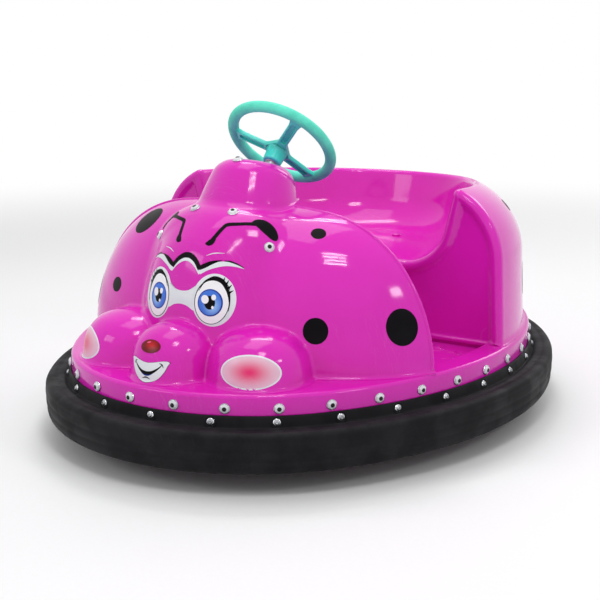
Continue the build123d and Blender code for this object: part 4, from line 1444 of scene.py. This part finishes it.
@dataclass
class RingScrews:
    """The dome screws that hold the rubber's band to the skirt, each in its cup washer."""

    materials: Materials
    count: int = 28
    first: float = 0.035
    inset: float = 0.0557
    height: float = 0.1490
    rise: float = 0.24

    def build(self) -> None:
        """Build the boss, washer and screw at each place."""
        spacing = OVAL.length(self.inset) / self.count
        seats = []
        for index in range(self.count):
            place, outward = OVAL.place(self.inset, self.first + index * spacing)
            facing = (outward + Vector((0, 0, self.rise))).normalized()
            seats.append(Seat(place + Vector((0, 0, self.height)), facing))
        boss = ((0, -2), (14.5, -2), (14.5, -0.3), (13.4, 0.9), (11.6, 1.3), (10.4, 0.7), (9.9, -0.4),
                (0, -0.4))
        washer = ((0, -0.3), (8.2, -0.3), (8.4, 0.4), (7.7, 1.1), (6.0, 1.7), (0, 1.7))
        screw = ((0, 1.5), (5.6, 1.5), (5.8, 2.3), (5.1, 3.7), (3.7, 4.7), (2.7, 4.9), (2.2, 4.6), (2.0, 3.1),
                 (0, 2.9))
        parts = (("boss", boss, "ring_rubber", 28), ("washer", washer, "shaft_chrome", 28),
                 ("head", screw, "axle_steel", 24))
        for name, profile, slot, sides in parts:
            form = turned_part(profile, sides)
            set_out(f"ring_screw_{name}", form, seats, self.materials[slot], "root")


def hexagon(angle: float) -> float:
    """Return how far a hexagon's side lies from its middle at an angle, over its corner's distance."""
    return math.cos(math.pi / 6) / math.cos((angle % (math.pi / 3)) - math.pi / 6)


@dataclass
class Bolts:
    """Hex bolts with washers at the brackets, the post's flange and the motor's end."""

    materials: Materials
    head: Profile = (
        (0, -0.5), (7.5, -0.5), (8.2, 0), (8.2, 1.0), (7.8, 1.3), (5.4, 1.3), (5.4, 4.4), (4.9, 5.0),
        (0, 5.0))
    hexagon_start: int = 4
    sides: int = 48
    small: float = 0.55
    flange: Triple = (0.032, -0.352, 0.198)
    flange_half: float = 0.032
    bracket: Triple = (0.268, 0.380, 0.164)
    bracket_half: float = 0.018
    motor_end: Triple = (0.141, -0.352, 0.096)
    motor_reach: float = 0.021

    def wave(self, angle: float, number: int) -> float:
        """Return the factor on the radius, which leaves the washer round."""
        return hexagon(angle) if number >= self.hexagon_start else 1.0

    def build(self) -> None:
        """Build each group of bolts on the body that carries it."""
        form = turned_part(self.head, self.sides, self.wave)
        lesser = (form[0] * self.small, form[1])
        signs = [(a, b) for a in (-1, 1) for b in (-1, 1)]
        x, y, z = self.flange
        flange = [Seat(Vector((x * a, y + self.flange_half * b, z)), Vector((0, 0, 1))) for a, b in signs]
        x, y, z = self.bracket
        brackets = [Seat(Vector((x * a, y + self.bracket_half * b, z)), Vector((a, 0, 0))) for a, b in signs]
        x, y, z = self.motor_end
        reach = self.motor_reach
        turns = (math.pi / 2, math.pi * 7 / 6, math.pi * 11 / 6)
        ends = [Seat(Vector((x, y + reach * math.cos(t), z + reach * math.sin(t))), Vector((1, 0, 0)))
                for t in turns]
        set_out("flange_bolts", form, flange, self.materials["axle_steel"], "root")
        set_out("bracket_bolts", form, brackets, self.materials["axle_steel"], "root")
        set_out("motor_screws", lesser, ends, self.materials["axle_steel"], "drive_unit")


# Steering wheel


@dataclass
class SteeringSpider:
    """The moulded spider: three channelled spokes, a conical hub, its cap and its collar."""

    materials: Materials
    centre: Triple = (0.0, -0.136, 0.681)
    rake: float = 46.0
    spokes: tuple[float, ...] = (75.0, 195.0, 315.0)
    cell: float = 0.0019
    dish: float = 0.024
    spoke_start: float = 0.0085
    spoke_end: float = 0.1285
    half_width: float = 0.0125
    flare: float = 0.005
    half_depth: float = 0.0065
    edge: float = 0.0035
    groove_start: float = 0.036
    groove_end: float = 0.108
    groove_half_width: float = 0.0066
    groove_depth: float = 0.0075
    hub_top: float = -0.012
    hub_bottom: float = -0.065
    hub_top_radius: float = 0.0265
    hub_bottom_radius: float = 0.0225
    hub_edge: float = 0.005
    neck_bottom: float = -0.074
    web_blend: float = 0.012
    flare_start: float = 0.095
    flare_run: float = 0.03
    groove_corner: float = 0.005
    groove_floor: float = 0.0015
    groove_lip: float = 0.0012
    seam_out: float = 0.0008
    seam_drop: float = 0.016
    seam_radius: float = 0.0024
    half_box: float = 0.136
    box_below: float = 0.006
    box_top: float = 0.012

    def plane(self) -> Matrix:
        """Return the wheel's own frame."""
        rake = math.radians(self.rake)
        along = Vector((0, math.sin(rake), math.cos(rake)))
        across = Vector((0, math.cos(rake), -math.sin(rake)))
        turned = Matrix([(*column,) for column in zip(Vector((1, 0, 0)), across, along)]).to_4x4()
        return Matrix.Translation(self.centre) @ turned

    def spoke(self, points: Points, angle: float) -> tuple[np.ndarray, np.ndarray]:
        """Return the fields of one spoke and of the channel under it."""
        turn = math.radians(angle)
        run = points[:, 0] * math.cos(turn) + points[:, 1] * math.sin(turn)
        across = np.abs(points[:, 1] * math.cos(turn) - points[:, 0] * math.sin(turn))
        share = np.clip((run - self.spoke_start) / (self.spoke_end - self.spoke_start), 0, 1)
        level = points[:, 2] + self.dish * (1 - share)
        near_rim = np.clip((run - self.flare_start) / self.flare_run, 0, 1)
        half = self.half_width + self.flare * near_rim**2 * (3 - 2 * near_rim)
        bar = rounded_meet(across - half, np.abs(level) - self.half_depth, self.edge)
        bar = np.maximum(bar, np.maximum(-run, run - self.spoke_end))
        middle, reach = (self.groove_start + self.groove_end) / 2, (self.groove_end - self.groove_start) / 2
        past_ends = np.abs(run - middle) - reach
        channel = rounded_meet(across - self.groove_half_width, past_ends, self.groove_corner)
        channel = rounded_meet(channel, level + self.half_depth - self.groove_depth, self.groove_floor)
        return bar, channel

    def solid(self, points: Points) -> np.ndarray:
        """Return the field of the whole spider in the wheel's own frame."""
        radius = np.hypot(points[:, 0], points[:, 1])
        slope = (self.hub_top_radius - self.hub_bottom_radius) / (self.hub_top - self.hub_bottom)
        wall = radius - self.hub_bottom_radius - (points[:, 2] - self.hub_bottom) * slope
        wall = wall / math.hypot(1, slope)
        ends = np.maximum(points[:, 2] - self.hub_top, self.hub_bottom - points[:, 2])
        result = rounded_meet(wall, ends, self.hub_edge)
        channels = np.full(len(points), np.inf)
        for angle in self.spokes:
            bar, channel = self.spoke(points, angle)
            result = rounded_join(result, bar, self.web_blend)
            channels = np.minimum(channels, channel)
        result = rounded_meet(result, -channels, self.groove_lip)
        off_seam = radius - self.hub_top_radius - self.seam_out
        seam = np.hypot(off_seam, points[:, 2] - self.hub_top + self.seam_drop) - self.seam_radius
        return np.maximum(result, -seam)

    def build(self) -> None:
        """Build the spider and what is fitted to its hub."""
        half = self.half_box
        low, high = (-half, -half, self.hub_bottom - self.box_below), (half, half, self.box_top)
        points, quads = skin_of(self.solid, low, high, self.cell)
        points = settle(self.solid, points, 0.001, 4)
        normals = unit_rows(slope_of(self.solid, points))
        faces: Faces = [tuple(quad) for quad in quads.tolist()]
        spider = new_object("spider_moulding", points, faces, self.materials["spoke_green"])
        spider.data.normals_split_custom_set_from_vertices(normals.tolist())
        spider.matrix_world = self.plane()
        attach(spider, "steering")
        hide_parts("steering_spider")
        LOG.info("spider_moulding has %d faces", len(faces))
        self.build_hub()

    def build_hub(self) -> None:
        """Build the cap over the hub, and the collar and clamp that hold it to the shaft."""
        along = self.plane().to_3x3() @ Vector((0, 0, 1))
        origin = Vector(self.centre)
        cap = ((0, -3), (20, -3), (20.6, 0.2), (20.0, 1.6), (18.6, 2.2), (17.8, 1.7), (17.0, 2.3), (9, 3.4),
               (0, 3.8))
        collar = ((0, -1), (11.4, -1), (12.4, 0), (12.8, 1.4), (12.8, 7), (15, 8.6), (16, 10.4), (16, 19),
                  (0, 19))
        clamp = ((0, -8.5), (9.4, -8.5), (10.8, -7.6), (11.2, -6.6), (11.2, -2.4), (10.6, -1.6), (9.8, -0.8),
                 (0, -0.8))
        parts = (("hub_cap", cap, self.hub_top, "spoke_green"),
                 ("hub_collar", collar, self.neck_bottom, "axle_steel"),
                 ("hub_clamp", clamp, self.neck_bottom, "shaft_chrome"))
        for name, profile, depth, slot in parts:
            seats = [Seat(origin + along * depth, along)]
            set_out(name, turned_part(profile, 48), seats, self.materials[slot], "steering")


# Floor and tyres


@dataclass
class FloorGrip:
    """The raised anti-slip bars moulded into the sunk floor, in groups that turn by turns."""

    materials: Materials
    floor_top: float = 0.190
    side_inset: float = 0.146
    rear: float = 0.020
    front_y: float = -0.180
    front_wide: float = 0.448
    front_long: float = 0.270
    pitch: float = 0.074
    bar_pitch: float = 0.015
    setback: float = 0.02
    columns: range = range(-6, 7)
    rows: range = range(-7, 1)
    half_straight: float = 14.0
    end_radius: float = 3.2
    end_points: int = 8
    crease: float = 50.0
    levels: Profile = ((1.0, -0.5), (1.0, 0.3), (0.88, 1.0), (0.62, 1.4))
    post: Triple = (0.0, -0.352, 0.085)
    pedal: tuple[float, float, float, float] = (0.080, 0.180, -0.425, -0.295)

    def clear(self, points: Points) -> np.ndarray:
        """Return whether each place on the floor is free for a bar."""
        x, y = points[:, 0], points[:, 1]
        inside = OVAL.distance(points) + self.side_inset < 0
        inside &= y < self.rear
        in_front = np.hypot(x / self.front_wide, (y - self.front_y) / self.front_long) < 1
        inside &= (y > self.front_y) | in_front
        inside &= np.hypot(x - self.post[0], y - self.post[1]) > self.post[2]
        low_x, high_x, low_y, high_y = self.pedal
        on_pedal = (x > low_x) & (x < high_x) & (y > low_y) & (y < high_y)
        return inside & ~on_pedal

    def bar(self) -> tuple[Points, Faces]:
        """Return one bar about its own middle: rounded ends, and sides that draw in toward the top."""
        half, end = self.half_straight, self.end_radius
        turns = np.linspace(-math.pi / 2, math.pi / 2, self.end_points)
        outline = [(half + end * math.cos(t), end * math.sin(t)) for t in turns]
        outline += [(-x, -y) for x, y in outline]
        count = len(outline)
        points = []
        for size, z in self.levels:
            shorter = 1 if size == 1 else (half + end * size) / (half + end)
            points += [(x * shorter * MM, y * size * MM, z * MM) for x, y in outline]
        faces = woven(len(self.levels), count)
        faces += [tuple(range(count - 1, -1, -1)), tuple(range(len(points) - count, len(points)))]
        return np.array(points), faces

    def build(self) -> None:
        """Build all the bars as one piece."""
        form, faces = self.bar()
        every, all_faces = [], []
        for column in self.columns:
            for row in self.rows:
                turn = math.radians(45 if (column + row) % 2 else -45)
                sine, cosine = math.sin(turn), math.cos(turn)
                spin = np.array(((cosine, sine, 0), (-sine, cosine, 0), (0, 0, 1)))
                centre = np.array((column * self.pitch, row * self.pitch - self.setback, self.floor_top))
                for bar in (-1, 0, 1):
                    placed = (form + np.array((0, bar * self.bar_pitch, 0))) @ spin + centre
                    if self.clear(placed).all():
                        start = len(every) * len(form)
                        every.append(placed)
                        all_faces += [tuple(start + number for number in face) for face in faces]
        grip = new_object("floor_grip", np.concatenate(every), all_faces, self.materials["pink_shell"])
        grip.data.set_sharp_from_angle(angle=math.radians(self.crease))
        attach(grip, "root")
        LOG.info("floor_grip has %d bars", len(every))


@dataclass(frozen=True)
class GroovedTyre:
    """A solid rubber tyre with three grooves round it and notches across its shoulders."""

    node: str
    body: str
    centre: Triple
    bore: float = 50.4
    sides: int = 180
    notch_every: int = 6
    notch_depth: float = 0.975
    notch_from_radius: float = 68.0
    notch_from_width: float = 12.0
    crease: float = 35.0

    def profile(self) -> list[Pair]:
        """Return radius and width pairs across the tread from one bore edge to the other."""
        bead = ((0, -22.2), (3, -22.9), (5, -22.9), (6, -22.2), (9, -22.2), (10, -22.9))
        side = [(self.bore + out, width) for out, width in bead]
        shoulder = [(66.0, -23.0), (69.5, -22.2), (72.6, -19.9), (74.4, -16.6), (75.0, -14.0)]
        grooves = [(75.0, -11.4), (74.6, -10.9), (72.6, -10.3), (72.6, -8.7), (74.6, -8.1), (75.0, -7.6),
                   (75.0, -1.9), (74.6, -1.4), (72.6, -0.8)]
        half = side + shoulder + grooves
        return half + [(radius, -width) for radius, width in reversed(half)]

    def build(self, materials: Materials) -> None:
        """Build the tyre on its body in place of its plain solid."""
        profile = self.profile()
        x, y, z = self.centre
        points = []
        for k in range(self.sides):
            angle = 2 * math.pi * k / self.sides
            notched = k % self.notch_every in (0, 1)
            for radius, width in profile:
                on_shoulder = abs(width) > self.notch_from_width and radius > self.notch_from_radius
                size = radius * (self.notch_depth if notched and on_shoulder else 1)
                across, up = size * MM * math.cos(angle), size * MM * math.sin(angle)
                points.append((x + width * MM, y + across, z + up))
        faces = woven(self.sides, len(profile), closed=True)
        tyre = new_object(f"{self.node}_tread", points, faces, materials["tyre"])
        tyre.data.set_sharp_from_angle(angle=math.radians(self.crease))
        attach(tyre, self.body)
        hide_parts(self.node)
        LOG.info("%s has a grooved tread", self.node)


TYRES = (
    GroovedTyre("drive_tyre", "drive_wheel", (0.0, -0.352, 0.075)),
    GroovedTyre("rear_tyre_left", "rear_wheel_left", (0.300, 0.380, 0.075)),
    GroovedTyre("rear_tyre_right", "rear_wheel_right", (-0.300, 0.380, 0.075)),
)


# Studio


@dataclass(frozen=True)
class SoftBox:
    """One rectangular studio lamp that looks at the car."""

    name: str
    place: Triple
    size: Pair
    power: float

    def build(self, target: Vector) -> None:
        """Hang the lamp and turn it to the target."""
        lamp = bpy.data.lights.new(self.name, "AREA")
        lamp.shape = "RECTANGLE"
        lamp.size, lamp.size_y = self.size
        lamp.energy = self.power
        holder = bpy.data.objects.new(self.name, lamp)
        holder.location = self.place
        holder.rotation_euler = (target - Vector(self.place)).to_track_quat("-Z", "Y").to_euler()
        bpy.context.scene.collection.objects.link(holder)


@dataclass
class Studio:
    """Floor, lamps, world and the camera at the photograph's angle."""

    azimuth: float = 32.419
    elevation: float = 12.005
    distance: float = 3.112
    aim: Triple = (0.0, 0.0, 0.3)
    lens: float = 72.0
    shift: Pair = (-0.0194, -0.0230)
    floor_size: float = 60.0
    floor_clear: float = 2.2
    floor_faded: float = 5.0
    world_light: float = 0.56
    sensor: float = 36.0
    soft_boxes: tuple[SoftBox, ...] = (
        SoftBox("key_strip_0", (0.98, -1.20, 3.08), (0.66, 0.075), 4.6),
        SoftBox("key_strip_1", (1.06, -1.34, 2.99), (0.66, 0.075), 4.6),
        SoftBox("key_strip_2", (1.14, -1.48, 2.90), (0.66, 0.075), 4.6),
        SoftBox("key_strip_3", (1.22, -1.62, 2.81), (0.66, 0.075), 4.6),
        SoftBox("roof_strip_0", (-0.70, 1.00, 3.10), (1.30, 0.10), 8.0),
        SoftBox("roof_strip_1", (-0.86, 1.24, 3.05), (1.30, 0.10), 8.0),
        SoftBox("side_window", (3.60, -0.60, 2.60), (0.7, 0.4), 14.0),
        SoftBox("front_fill", (-1.8, -3.6, 2.4), (1.6, 1.2), 20.0),
        SoftBox("top_box", (-0.4, 0.0, 3.4), (2.2, 1.4), 20.0),
        SoftBox("rear_box", (1.0, 3.6, 2.6), (2.0, 1.4), 26.0),
    )

    def build(self) -> None:
        """Set up the whole studio."""
        self.build_camera()
        for box in self.soft_boxes:
            box.build(Vector(self.aim))
        self.build_world()
        self.build_floor()
        bpy.context.scene.view_settings.view_transform = "Standard"

    def build_camera(self) -> None:
        """Place the camera on its bearing from the car."""
        azimuth, elevation = math.radians(self.azimuth), math.radians(self.elevation)
        level = math.cos(elevation)
        away = Vector((math.sin(azimuth) * level, -math.cos(azimuth) * level, math.sin(elevation)))
        data = bpy.data.cameras.new("studio_camera")
        data.lens = self.lens
        data.sensor_width = self.sensor
        data.shift_x, data.shift_y = self.shift
        camera = bpy.data.objects.new("studio_camera", data)
        camera.location = Vector(self.aim) + away * self.distance
        camera.rotation_euler = (-away).to_track_quat("-Z", "Y").to_euler()
        bpy.context.scene.collection.objects.link(camera)
        bpy.context.scene.camera = camera

    @staticmethod
    def seen_directly(graph: Graph) -> Socket:
        """Return 1 for rays from the camera, from gloss and through glass, or else 0."""
        path = graph.add("LightPath")
        gloss = graph.math("MAXIMUM", path.outputs["Is Glossy Ray"], path.outputs["Is Transmission Ray"])
        return graph.math("MAXIMUM", path.outputs["Is Camera Ray"], gloss)

    def build_world(self) -> None:
        """Make the world white where it shows and soft grey where it lights."""
        world = bpy.data.worlds.new("studio_world")
        world.use_nodes = True
        world.node_tree.nodes.clear()
        graph = Graph(world.node_tree)
        strength = graph.ramp(self.seen_directly(graph), 0.0, 1.0, self.world_light, 1.0)
        background = graph.add("Background", {"Color": (1, 1, 1, 1), "Strength": strength})
        graph.add("OutputWorld", {"Surface": background.outputs[0]})
        bpy.context.scene.world = world

    def build_floor(self) -> None:
        """Lay a pale floor that keeps the car's shadow and fades to the white around it."""
        half = self.floor_size / 2
        corners = ((-half, -half, 0), (half, -half, 0), (half, half, 0), (-half, half, 0))
        material = bpy.data.materials.new("studio_floor")
        material.use_nodes = True
        material.node_tree.nodes.clear()
        graph = Graph(material.node_tree)
        place = graph.add("TexCoord").outputs["Object"]
        speckle = graph.noise(place, 90.0, 4.0)
        rough = graph.ramp(speckle, 0.3, 0.7, 0.5, 0.62)
        shade = graph.mix(speckle, srgb(243, 243, 244), srgb(247, 247, 248))
        paint = graph.add("BsdfPrincipled", {"Base Color": shade, "Roughness": rough})
        glow = graph.add("Emission", {"Color": (1, 1, 1, 1), "Strength": self.seen_directly(graph)})
        reach = graph.add("VectorMath", {0: place}, operation="LENGTH").outputs["Value"]
        faded = graph.ramp(reach, self.floor_clear, self.floor_faded)
        both = graph.add("MixShader", {0: faded, 1: paint.outputs[0], 2: glow.outputs[0]})
        graph.add("OutputMaterial", {"Surface": both.outputs[0]})
        floor = new_object("studio_floor", corners, [(0, 1, 2, 3)], material)


def main() -> None:
    """Build the car's looks in order."""
    logging.basicConfig(level=logging.INFO, format="%(name)s: %(message)s")
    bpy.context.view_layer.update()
    Studio().build()
    materials = Materials()
    materials.dress_frame()
    front = FrontMoulding(materials)
    front.build()
    rear = RearMoulding(materials)
    rear.build()
    front_print, rear_print = Print(front.solid, materials), Print(rear.solid, materials)
    FacePrint(front_print).build()
    WingSpots().build(front_print, rear_print)
    Lamps(front.solid, materials).build()
    RubberRing(materials).build()
    RingScrews(materials).build()
    SteeringSpider(materials).build()
    FloorGrip(materials).build()
    for tyre in TYRES:
        tyre.build(materials)
    Bolts(materials).build()


if __name__ == "__main__":
    main()
